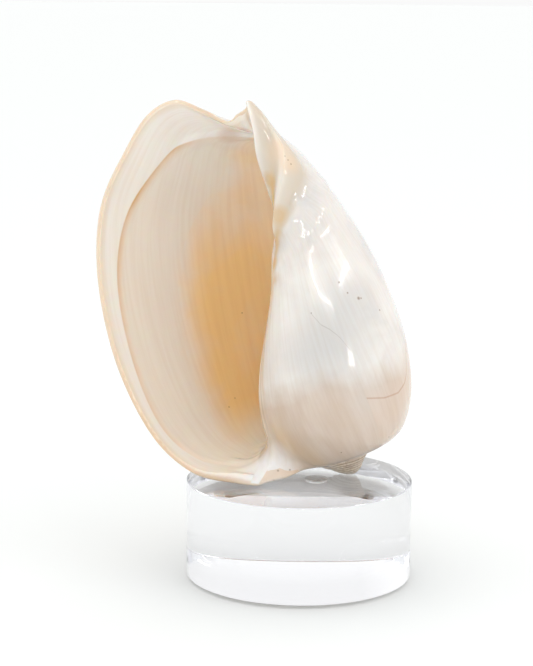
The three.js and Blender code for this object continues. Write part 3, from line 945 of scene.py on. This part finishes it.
# a hair above the floor, so that no face lies in the floor's plane
FOOT_LIFT = 0.05
FOOT_CIRCLE = 39.0
FOOT_ANGLES = (-101.0, -11.0, 79.0, 169.0)
SHARP_ANGLE = math.radians(30)
DISC_SEGMENTS = 256
FOOT_SEGMENTS = 64
QUARTER_STEPS = 4


def turned_profile(radius, bottom, top, bevel):
    """Outline of a disc with rounded edges, from the axis at the bottom to the axis at the top."""
    quarter = [math.pi / 2 * step / QUARTER_STEPS for step in range(QUARTER_STEPS + 1)]
    low = [(radius - bevel + bevel * math.sin(a), bottom + bevel - bevel * math.cos(a)) for a in quarter]
    high = [(radius - bevel + bevel * math.cos(a), top - bevel + bevel * math.sin(a)) for a in quarter]
    return low + high


def turned(name, centre, profile, segments):
    """A closed turned body; both flat ends are single faces."""
    turn = 2 * np.pi * np.arange(segments) / segments
    rings = [np.stack([centre[0] + r * np.cos(turn), centre[1] + r * np.sin(turn), np.full(segments, z)], 1)
             for r, z in profile]
    j = np.arange(segments)
    across = (j + 1) % segments
    faces = []
    for row in range(len(rings) - 1):
        start = row * segments
        above = start + segments
        faces += np.stack([start + j, start + across, above + across, above + j], 1).tolist()
    faces.append(j[::-1].tolist())
    faces.append(((len(rings) - 1) * segments + j).tolist())
    thing = new_object(name, np.concatenate(rings) * MM, faces)
    thing.data.shade_smooth()
    thing.data.set_sharp_from_angle(angle=SHARP_ANGLE)
    return thing


disc_profile = turned_profile(DISC_RADIUS, DISC_BOTTOM, DISC_TOP, DISC_BEVEL)
disc = turned("acrylic_disc", DISC_CENTRE, disc_profile, DISC_SEGMENTS)
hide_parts("disc")
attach(disc, "root")
foot_profile = turned_profile(FOOT_RADIUS, FOOT_LIFT, FOOT_HEIGHT, FOOT_BEVEL)
feet = []
for number, angle in enumerate(FOOT_ANGLES, 1):
    turn = math.radians(angle)
    centre = (DISC_CENTRE[0] + FOOT_CIRCLE * math.cos(turn), DISC_CENTRE[1] + FOOT_CIRCLE * math.sin(turn))
    foot = turned(f"bumper_foot_{number}", centre, foot_profile, FOOT_SEGMENTS)
    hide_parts(f"foot_{number}")
    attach(foot, "root")
    feet.append(foot)
print("disc size in mm:", [round(v / MM, 1) for v in disc.dimensions], "and", len(feet), "feet")

# %% [markdown]
# ## Materials
# One small function adds a node, sets it and links it. Colours are written as the hex values
# that a colour picker shows, and one function turns them into the linear light that the
# renderer works with.

# %% Colour and node helpers
def to_linear(code):
    """Linear colour with alpha from an sRGB hex code."""
    parts = [int(code[i:i + 2], 16) / 255 for i in (1, 3, 5)]
    return (*[v / 12.92 if v <= 0.04045 else ((v + 0.055) / 1.055) ** 2.4 for v in parts], 1.0)


def usable(sockets, key):
    """The socket with that number, or the one with that name that the node's settings leave in use."""
    return sockets[key] if isinstance(key, int) else next(s for s in sockets if s.name == key and s.enabled)


def add(tree, kind, inputs=None, stops=None, **settings):
    """One node: its settings, its ramp stops, and for each named input a value, a colour code or a node."""
    node = tree.nodes.new(kind)
    for name, value in settings.items():
        setattr(node, name, value)
    for number, (place, code) in enumerate(stops or []):
        ramp = node.color_ramp.elements
        stop = ramp[number] if number < 2 else ramp.new(place)
        stop.position = place
        stop.color = to_linear(code)
    for key, value in (inputs or {}).items():
        socket = usable(node.inputs, key)
        if isinstance(value, bpy.types.Node):
            value = next(out for out in value.outputs if out.enabled)
        if isinstance(value, bpy.types.NodeSocket):
            tree.links.new(value, socket)
        else:
            socket.default_value = to_linear(value) if isinstance(value, str) else value
    return node


def new_material(name):
    material = bpy.data.materials.new(name)
    material.use_nodes = True
    material.node_tree.nodes.clear()
    return material, material.node_tree


print("white in linear light:", to_linear("#ffffff"))

# %% [markdown]
# ## Polished shell
# The shell is layered aragonite, like porcelain. A wheel has taken off the skin and left
# a gloss. Light goes a few millimetres into it, so the hollow glows in warm tones. The
# values of every point are read here as numbers. Noise along the growth lines and through
# the body breaks them up, and each one gives a share where it passes through a range.

# %% Values, noises and shares of the shell
# millimetres of shell for one unit of each noise; growth lines and streaks run along the lip
GROWTH_LINE_MM = 3.53333
STREAK_MM = 22.0833
CLOUD_MM = 23.8095
GRIT_MM = 1.11111
# a noise on the growing surface differs outside and inside
OTHER_FACE = 7.0
# name: size, how it changes from line to line, detail
GROWTH_NOISES = {"fine": (GROWTH_LINE_MM, 0.5, 3.0), "broad": (STREAK_MM, 0.4, 4.0)}
SOLID_NOISES = {
    "cloud": (CLOUD_MM, {"Detail": 4.0, "Distortion": 0.6}),
    "grit": (GRIT_MM, {"Detail": 5.0, "Roughness": 0.7}),
}
# a share follows one value: it goes from one number to another while the value passes a range
RANGE_SOCKETS = ("Value", "From Min", "From Max", "To Min", "To Max")
SHARES = {
    "clouds": ("cloud", 0.3, 0.7, -0.2, 0.2),
    "hollow_streaks": ("broad", 0.3, 0.7, -0.1, 0.1),
    "border_streaks": ("broad", 0.3, 0.7, -0.08, 0.08),
    "white_band": ("lip_mm", 0.5, 7.0, 0.0, 1.0),
    "in_glaze": ("glaze_mm", -1.5, 1.5, 0.0, 1.0),
    "across_tan": ("glaze_mm", -2.0, 8.0, 0.0, 1.0),
    "tan_broken": ("cloud", 0.35, 0.6, 0.7, 1.0),
    "tan_above": ("line", 8.4, 9.4, 1.0, 0.15),
    "tan_below": ("line", 3.5, 6.8, 0.35, 1.0),
    # deep and low: shares of the painted light that lifts the shade deep in the hollow and low in its corner
    "deep": ("age", 0.2, 0.36, 0.0, 0.75),
    "low": ("line", 2.0, 3.6, 0.9, 0.0),
    "stain": ("past_stain", 0.0, 0.5, 0.3, 0.0),
    "tan_edge": ("lip_mm", 0.2, 1.0, 0.5, 0.0),
    "gloss": ("cloud", 0.3, 0.7, 0.1, 0.18),
}


def shell_values(tree):
    """What every point carries, the noises, and the shares that follow them."""
    value = {name: add(tree, "ShaderNodeAttribute", attribute_name=name).outputs["Fac"] for name in values}
    value["place"] = add(tree, "ShaderNodeTexCoord").outputs["Object"]
    growth = add(tree, "ShaderNodeCombineXYZ", {"X": value["age"], "Y": value["line"], "Z": value["inside"]})
    for name, (size, across, detail) in GROWTH_NOISES.items():
        stretched = add(tree, "ShaderNodeVectorMath", {0: growth, 1: (LIP_TRAVEL / size, across, OTHER_FACE)},
                        operation="MULTIPLY")
        value[name] = add(tree, "ShaderNodeTexNoise", {"Vector": stretched, "Scale": 1.0, "Detail": detail})
    for name, (size, settings) in SOLID_NOISES.items():
        scale = 1 / (size * MM)
        value[name] = add(tree, "ShaderNodeTexNoise", {"Vector": value["place"], "Scale": scale, **settings})
    for name, (source, *limits) in SHARES.items():
        value[name] = add(tree, "ShaderNodeMapRange", dict(zip(RANGE_SOCKETS, (value[source], *limits))))
    return value


print("growth lines in a whorl:", round(LIP_TRAVEL / GROWTH_LINE_MM), "shares:", len(SHARES))

# %% [markdown]
# ## Colour of the hollow
# A painter would lay it down in coats, and so do these nodes: a pale band behind the lip,
# the hollow from ivory to amber, the tan line where the glaze starts, and painted light, paler
# tones that lift the shade deep inside and low down. The amber is ragged, because streaks and
# clouds shift its border.

# %% Colour of the hollow
BAND_CREAM = "#ece4d9"
BAND_WHITE = "#f3f3f2"
HOLLOW_TONES = [(0.0, "#eeeae2"), (1.0, "#fadb9f"), (0.35, "#f3e5d0"), (0.7, "#f5deb4")]
AMBER_RAGGED_FROM = 0.12
TAN_LINE = "#d6ac6c"
# strength of the tan line across its width, as greys
TAN_PROFILE = [(0.1, "#000000"), (0.9, "#000000"), (0.2, "#f0f0f0"), (0.36, "#c4c4c4"), (0.6, "#6c6c6c")]
# painted light: paler tones deep in the hollow and low in its corner, where the shade falls
HOLLOW_DEEP_PAINTED_LIGHT = "#ffe9bf"
HOLLOW_LOW_PAINTED_LIGHT = "#fff8ee"


def inside_colour(tree, value):
    """Pale band behind the lip, a tan line where the glaze starts, amber deep inside, and painted light that
    lifts the shade deep inside and low down.
    """
    moved = add(tree, "ShaderNodeMath", {0: value["hollow_streaks"], 1: value["clouds"]}, operation="ADD")
    inner = add(tree, "ShaderNodeMath", {0: value["amber"], 1: AMBER_RAGGED_FROM}, operation="GREATER_THAN")
    ragged = add(tree, "ShaderNodeMath", {0: moved, 1: inner, 2: value["amber"]}, operation="MULTIPLY_ADD")
    hollow_tone = add(tree, "ShaderNodeValToRGB", {"Fac": ragged}, stops=HOLLOW_TONES)
    tan = add(tree, "ShaderNodeValToRGB", {"Fac": value["across_tan"]}, stops=TAN_PROFILE)
    for name in ("tan_broken", "tan_above", "tan_below"):
        tan = add(tree, "ShaderNodeMath", {0: tan, 1: value[name]}, operation="MULTIPLY")
    tone = BAND_CREAM
    for share, coat in [(value["white_band"], BAND_WHITE), (value["in_glaze"], hollow_tone), (tan, TAN_LINE),
                        (value["deep"], HOLLOW_DEEP_PAINTED_LIGHT), (value["low"], HOLLOW_LOW_PAINTED_LIGHT)]:
        tone = add(tree, "ShaderNodeMix", {"Factor": share, "A": tone, "B": coat}, data_type="RGBA")
    return tone


print("deep hollow in linear light:", [round(v, 2) for v in to_linear(HOLLOW_DEEP_PAINTED_LIGHT)])

# %% [markdown]
# ## Colour of the outside
# Grey-white above and beige below a soft wandering border, then the thin coats: grey clouds,
# the stain and its fine edge, a hairline, and warm patches where old amber shines through;
# two of them are amber painted shade beside the grooves of the pillar.

# %% Colour of the outside
OUTSIDE_GREY = "#d3d2d0"
OUTSIDE_TONES = [(0.22, OUTSIDE_GREY), (0.65, "#ebe8e3"), (0.45, "#e4dfda")]
BEIGE_TONES = [(0.32, "#d1beac"), (0.68, "#dbcdbf"), (0.5, "#d5c4b5")]
BORDER_SOFTNESS = 0.38
STAIN = "#dac2af"
PATCH_AMBER = "#d8b47d"
# a thin line: the border it follows, its half width in lines, its strength, its colour
THIN_LINES = [("past_stain", 0.045, 0.5, "#b98f76"), ("past_hairline", 0.03, 0.35, "#a09a92")]
SHARP_PART = 0.3


def outside_colour(tree, value):
    """Grey-white above, beige below a soft border, a stain with a thin edge, warm patches."""
    drift = add(tree, "ShaderNodeMath", {0: value["clouds"], 1: value["border_streaks"]}, operation="ADD")
    border = add(tree, "ShaderNodeMath", {0: value["past_white"], 1: drift}, operation="ADD")
    limits = (border, -BORDER_SOFTNESS, BORDER_SOFTNESS)
    above = add(tree, "ShaderNodeMapRange", dict(zip(RANGE_SOCKETS, limits)))
    white = add(tree, "ShaderNodeValToRGB", {"Fac": value["cloud"]}, stops=OUTSIDE_TONES)
    coats = [(above, white), (value["grey"], OUTSIDE_GREY), (value["stain"], STAIN)]
    for name, width, strength, colour in THIN_LINES:
        off = add(tree, "ShaderNodeMath", {0: value[name]}, operation="ABSOLUTE")
        limits = (off, SHARP_PART * width, width, strength, 0.0)
        coats.append((add(tree, "ShaderNodeMapRange", dict(zip(RANGE_SOCKETS, limits))), colour))
    coats.append((value["amber"], PATCH_AMBER))
    tone = add(tree, "ShaderNodeValToRGB", {"Fac": value["broad"]}, stops=BEIGE_TONES)
    for share, coat in coats:
        tone = add(tree, "ShaderNodeMix", {"Factor": share, "A": tone, "B": coat}, data_type="RGBA")
    return tone


print("stain in linear light:", [round(v, 2) for v in to_linear(STAIN)])

# %% [markdown]
# ## The worn spire
# No wheel reached the spire. Its old layers are chalk: matt, gritty and crossed by growth
# bands 1.3 mm apart, square to the leaning axis. A sine along the axis makes the bands.

# %% Colour of the spire
SPIRE_BAND_MM = 1.3
SPIRE_BAND_WANDER = 9.0
CHALK_TONES = [(0.3, "#c0ad99"), (0.75, "#fbf3e8"), (0.5, "#e8dac9")]
CHALK_BANDS = [(0.1, "#d2c6b8"), (0.8, "#ffffff")]


def spire_colour(tree, value):
    """Gritty chalk with darker bands across the leaning axis."""
    lean = math.radians(SHELL_LEAN_DEG)
    axis = (math.sin(lean), 0.0, math.cos(lean))
    up = add(tree, "ShaderNodeVectorMath", {0: value["place"], 1: axis}, operation="DOT_PRODUCT")
    wander = add(tree, "ShaderNodeMath", {0: value["cloud"], 1: SPIRE_BAND_WANDER}, operation="MULTIPLY")
    turns = add(tree, "ShaderNodeMath", {0: up.outputs["Value"], 1: 2 * math.pi / (SPIRE_BAND_MM * MM),
                                         2: wander}, operation="MULTIPLY_ADD")
    wave = add(tree, "ShaderNodeMath", {0: turns}, operation="SINE")
    band = add(tree, "ShaderNodeMapRange", dict(zip(RANGE_SOCKETS, (wave, -1.0, 1.0))))
    bands = add(tree, "ShaderNodeValToRGB", {"Fac": band}, stops=CHALK_BANDS)
    chalk = add(tree, "ShaderNodeValToRGB", {"Fac": value["grit"]}, stops=CHALK_TONES)
    return add(tree, "ShaderNodeMix", {"Factor": 1.0, "A": chalk, "B": bands}, data_type="RGBA",
               blend_type="MULTIPLY")


print("bands on the spire:", round((SPIRE_RIM - SPIRE_TIP) / SPIRE_BAND_MM, 1))

# %% [markdown]
# ## Pits, specks and tints
# Small brown pits and specks show that the shell is old and real. The pillar carries a little
# orange, its grooves amber painted shade, and the canal a pale spot of painted shade. Each is a
# round spot, given by its centre and radius, that fades toward its rim.

# %% Pits, specks and tints
# surface pits: age, line, radius in millimetres
PITS = [(0.664, 7.24, 0.55), (0.656, 6.92, 0.4), (0.636, 6.64, 0.75), (0.63, 6.6, 0.4), (0.596, 6.04, 0.4),
        (0.76, 7.0, 0.3), (0.81, 2.4, 0.35), (0.68, 2.2, 0.35)]
# specks in the hollow, on the callus and on the pillar: place and radius in millimetres
SPECKS = [((-7.9, 50.7, 110.4), 0.35), ((-10.6, 37.0, 72.3), 0.3), ((-13.2, 32.6, 69.0), 0.35),
          ((10.5, -18.4, 51.8), 0.6), ((8.8, -21.5, 48.0), 0.8), ((15.8, -18.6, 52.4), 0.45),
          ((13.4, -6.0, 189.5), 0.35), ((12.0, -6.1, 191.2), 0.3), ((14.7, -5.9, 187.7), 0.4)]
PILLAR_TINT = [((10.7, -5.4, 193.8), 7.0), ((13.4, -6.0, 189.0), 6.0)]
# amber painted shade in the pillar's grooves: place and radius in millimetres
GROOVE_PAINTED_SHADE = [((8.9, -5.7, 152.5), 2.6), ((8.1, -6.6, 144.2), 3.0), ((5.5, -2.0, 180.0), 4.0),
               ((9.5, -7.5, 165.0), 4.5)]
# painted shade in the canal, where its hollow lies in shade: place and radius in millimetres
CANAL_PAINTED_SHADE = [((-13.5, 22.0, 197.0), 5.0), ((-6.0, 14.0, 200.0), 3.5)]
CALLUS_WHITE = [((5.0, -19.0, 50.0), 13.0)]
ORANGE_TINT = "#efcfa9"
PIT_BROWN = "#7d5f45"
# a spot is full up to the first share of its radius and gone at the second
SPOT_FULL = 0.5
SPOT_GONE = 1.3
pits = [(placed(spiral_point(age, line)[None, :])[0] / MM, radius) for age, line, radius in PITS]


def spot_share(tree, value, spots, strength):
    """The strength in round spots, given as a centre and a radius in millimetres, 0 elsewhere."""
    share = 0.0
    for centre, radius in spots:
        away = add(tree, "ShaderNodeVectorMath", {0: value["place"], 1: tuple(Vector(centre) * MM)},
                   operation="DISTANCE").outputs["Value"]
        limits = (away, SPOT_FULL * radius * MM, SPOT_GONE * radius * MM, strength, 0.0)
        near = add(tree, "ShaderNodeMapRange", dict(zip(RANGE_SOCKETS, limits)))
        share = add(tree, "ShaderNodeMath", {0: share, 1: near}, operation="MAXIMUM")
    return share


print("pits and specks:", len(pits + SPECKS))

# %% [markdown]
# ## The finished shell material
# The coats come together: the pillar, the callus and the tan edge over the two faces, then
# fine growth lines as a multiplied tone, then the spots and the chalk. The polish gives a
# gloss with a thin bright coat over it, and light travels up to 3 mm inside.

# %% Polished shell material
# pillar tones from the foot of a fold to its ridge, darker at the foot as painted shade where the hollow
# between two folds lies in shade
FOLD_TONES_PAINTED_SHADE = [(0.0, "#d5c8b7"), (1.0, "#f6f5f2"), (0.45, "#dcd3c6"), (0.8, "#ede8e1")]
# amber painted shade in the grooves beside the folds
GROOVE_AMBER_PAINTED_SHADE = "#dcb672"
EDGE_TAN = "#dcbd94"
GROWTH_LINE_TONES = [(0.35, "#fbf9f7"), (0.6, "#ffffff")]
CHALK_ROUGHNESS = 0.9
GROWTH_LINE_DEPTH = 0.007 * MM
GRIT_DEPTH = 0.35 * MM
LIGHT_DEPTH = 3.0 * MM


def shell_material():
    material, tree = new_material("polished_volute_shell")
    value = shell_values(tree)
    # the fold tones carry painted shade at the feet of the folds and amber painted shade in the grooves
    fold = add(tree, "ShaderNodeValToRGB", {"Fac": value["ridge"]}, stops=FOLD_TONES_PAINTED_SHADE)
    fold = add(tree, "ShaderNodeMix", {"Factor": value["groove"], "A": fold, "B": GROOVE_AMBER_PAINTED_SHADE},
               data_type="RGBA")
    callus = spot_share(tree, value, CALLUS_WHITE, 0.9)
    colour = outside_colour(tree, value)
    for share, coat in [(value["inside"], inside_colour(tree, value)), (value["pillar"], fold),
                        (callus, BAND_WHITE), (value["tan_edge"], EDGE_TAN)]:
        colour = add(tree, "ShaderNodeMix", {"Factor": share, "A": colour, "B": coat}, data_type="RGBA")
    lines = add(tree, "ShaderNodeValToRGB", {"Fac": value["fine"]}, stops=GROWTH_LINE_TONES)
    colour = add(tree, "ShaderNodeMix", {"Factor": 1.0, "A": colour, "B": lines}, data_type="RGBA",
                 blend_type="MULTIPLY")
    # the canal's spots are painted shade, and the groove spots amber painted shade
    for spots, strength, coat in [(CANAL_PAINTED_SHADE, 0.5, STAIN), (PILLAR_TINT, 0.4, ORANGE_TINT),
                                  (GROOVE_PAINTED_SHADE, 0.6, PATCH_AMBER), (pits + SPECKS, 0.65, PIT_BROWN)]:
        share = spot_share(tree, value, spots, strength)
        colour = add(tree, "ShaderNodeMix", {"Factor": share, "A": colour, "B": coat}, data_type="RGBA")
    chalk = spire_colour(tree, value)
    colour = add(tree, "ShaderNodeMix", {"Factor": value["spire"], "A": colour, "B": chalk}, data_type="RGBA")
    rough = add(tree, "ShaderNodeMix", {"Factor": value["spire"], "A": value["gloss"], "B": CHALK_ROUGHNESS})
    height = add(tree, "ShaderNodeMix", {"Factor": value["spire"], "A": value["fine"], "B": value["grit"]})
    depth = add(tree, "ShaderNodeMix", {"Factor": value["spire"], "A": GROWTH_LINE_DEPTH, "B": GRIT_DEPTH})
    bump = add(tree, "ShaderNodeBump", {"Height": height, "Distance": depth, "Strength": 1.0})
    surface = add(tree, "ShaderNodeBsdfPrincipled", {
        "Base Color": colour, "Roughness": rough, "IOR": 1.53, "Normal": bump,
        "Subsurface Weight": 0.7, "Subsurface Radius": (1.0, 0.72, 0.5), "Subsurface Scale": LIGHT_DEPTH,
        "Coat Weight": 0.35, "Coat Roughness": 0.03})
    add(tree, "ShaderNodeOutputMaterial", {"Surface": surface})
    return material


shell.data.materials.append(shell_material())
print("materials on the shell:", [m.name for m in shell.data.materials])

# %% [markdown]
# ## Clear acrylic and clear rubber
# Cast acrylic is almost without colour; 100 mm of it takes only a few per cent of the
# light, a little more of the red. The bumper feet are soft polyurethane with the same clear
# look, but their surface is hazier.

# %% Clear materials
def clear_material(name, ior, roughness, tint, density):
    material, tree = new_material(name)
    surface = add(tree, "ShaderNodeBsdfPrincipled", {
        "Base Color": "#ffffff", "Roughness": roughness, "IOR": ior, "Transmission Weight": 1.0})
    inside = add(tree, "ShaderNodeVolumeAbsorption", {"Color": tint, "Density": density})
    add(tree, "ShaderNodeOutputMaterial", {"Surface": surface, "Volume": inside})
    return material


acrylic = clear_material("cast_acrylic", ior=1.49, roughness=0.0, tint="#e6e8f4", density=2.0)
disc.data.materials.append(acrylic)
rubber = clear_material("clear_bumper_rubber", ior=1.5, roughness=0.06, tint="#f2f3f5", density=1.0)
for foot in feet:
    foot.data.materials.append(rubber)
print("clear materials:", acrylic.name, rubber.name)

# %% [markdown]
# ## Floor and sky light
# The photograph is high key: a white sweep and broad soft light from everywhere. The room
# in front, where the camera stands, is darker, so the glossy body has form. A little more
# light comes from above and from the left.

# %% White sweep and soft light all round
FLOOR_SIZE = 12.0
FLOOR_WHITE = "#f5f7f6"
SIDE_LIGHT = 0.955
FRONT_LIGHT = 0.66
TOP_LIGHT = 0.2
LEFT_LIGHT = 0.25
# direction, its range, the light at both ends, and how it goes over
SKY_LIGHT = [
    ("Y", (-0.97, -0.6, FRONT_LIGHT, SIDE_LIGHT), "SMOOTHSTEP"),
    ("Z", (0.3, 1.0, 0.0, TOP_LIGHT), "LINEAR"),
    ("X", (-1.0, -0.4, LEFT_LIGHT, 0.0), "LINEAR"),
]


def white_floor():
    half = FLOOR_SIZE / 2
    corners = [(-half, -half, 0), (half, -half, 0), (half, half, 0), (-half, half, 0)]
    floor = new_object("floor", corners, [(0, 1, 2, 3)])
    material, tree = new_material("white_sweep")
    surface = add(tree, "ShaderNodeBsdfPrincipled", {"Base Color": FLOOR_WHITE, "Roughness": 0.8})
    add(tree, "ShaderNodeOutputMaterial", {"Surface": surface})
    floor.data.materials.append(material)
    return floor


def studio_world():
    """White all round, weaker from the room in front, stronger from above and from the left."""
    world = bpy.data.worlds.new("studio")
    world.use_nodes = True
    tree = world.node_tree
    tree.nodes.clear()
    direction = add(tree, "ShaderNodeTexCoord").outputs["Generated"]
    parts = add(tree, "ShaderNodeSeparateXYZ", {0: direction})
    strength = 0.0
    for axis, limits, way in SKY_LIGHT:
        limits = dict(zip(RANGE_SOCKETS, (parts.outputs[axis], *limits)))
        part = add(tree, "ShaderNodeMapRange", limits, interpolation_type=way)
        strength = add(tree, "ShaderNodeMath", {0: strength, 1: part}, operation="ADD")
    light = add(tree, "ShaderNodeBackground", {"Color": "#ffffff", "Strength": strength})
    add(tree, "ShaderNodeOutputWorld", {"Surface": light})
    return world


white_floor()
bpy.context.scene.world = studio_world()
print("floor in metres:", FLOOR_SIZE)

# %% [markdown]
# ## Lamps
# Bright lines on a polished body are reflections of lamps, so the lamps have the shape of
# what is seen: two strips, wide and low, and one small window. They are small, so that they
# draw highlights and brighten little else.

# %% Strips, window and colour settings
LIGHT_TARGET = Vector((0.045, -0.03, 0.13))
LIGHT_DISTANCE = 1.6
# degrees to the right of the camera and above the floor, width and height in metres, radiance
LAMPS = {
    "front_strip": (-2, 29, 1.0, 0.04, 16),
    "side_strip": (62, 36, 1.0, 0.035, 16),
    "window": (33, 14, 0.26, 0.18, 9),
}


def softbox(name, azimuth, elevation, width, height, radiance):
    """Lamp aimed at the shell from a direction given in degrees."""
    turn, rise = math.radians(azimuth), math.radians(elevation)
    away = Vector((math.sin(turn) * math.cos(rise), -math.cos(turn) * math.cos(rise), math.sin(rise)))
    data = bpy.data.lights.new(name, "AREA")
    data.shape = "RECTANGLE"
    data.size = width
    data.size_y = height
    data.energy = radiance * math.pi * width * height
    light = put_in_scene(name, data)
    light.location = LIGHT_TARGET + away * LIGHT_DISTANCE
    light.rotation_euler = (-away).to_track_quat("-Z", "Y").to_euler()


for name, sizes in LAMPS.items():
    softbox(name, *sizes)
scene = bpy.context.scene
# light meets many polished faces inside the disc before it comes out
scene.cycles.max_bounces = 24
scene.cycles.diffuse_bounces = 12
scene.cycles.glossy_bounces = 16
scene.cycles.transmission_bounces = 20
scene.view_settings.view_transform = "Standard"
scene.view_settings.look = "None"
scene.view_settings.exposure = 0.0
scene.view_settings.gamma = 1.0
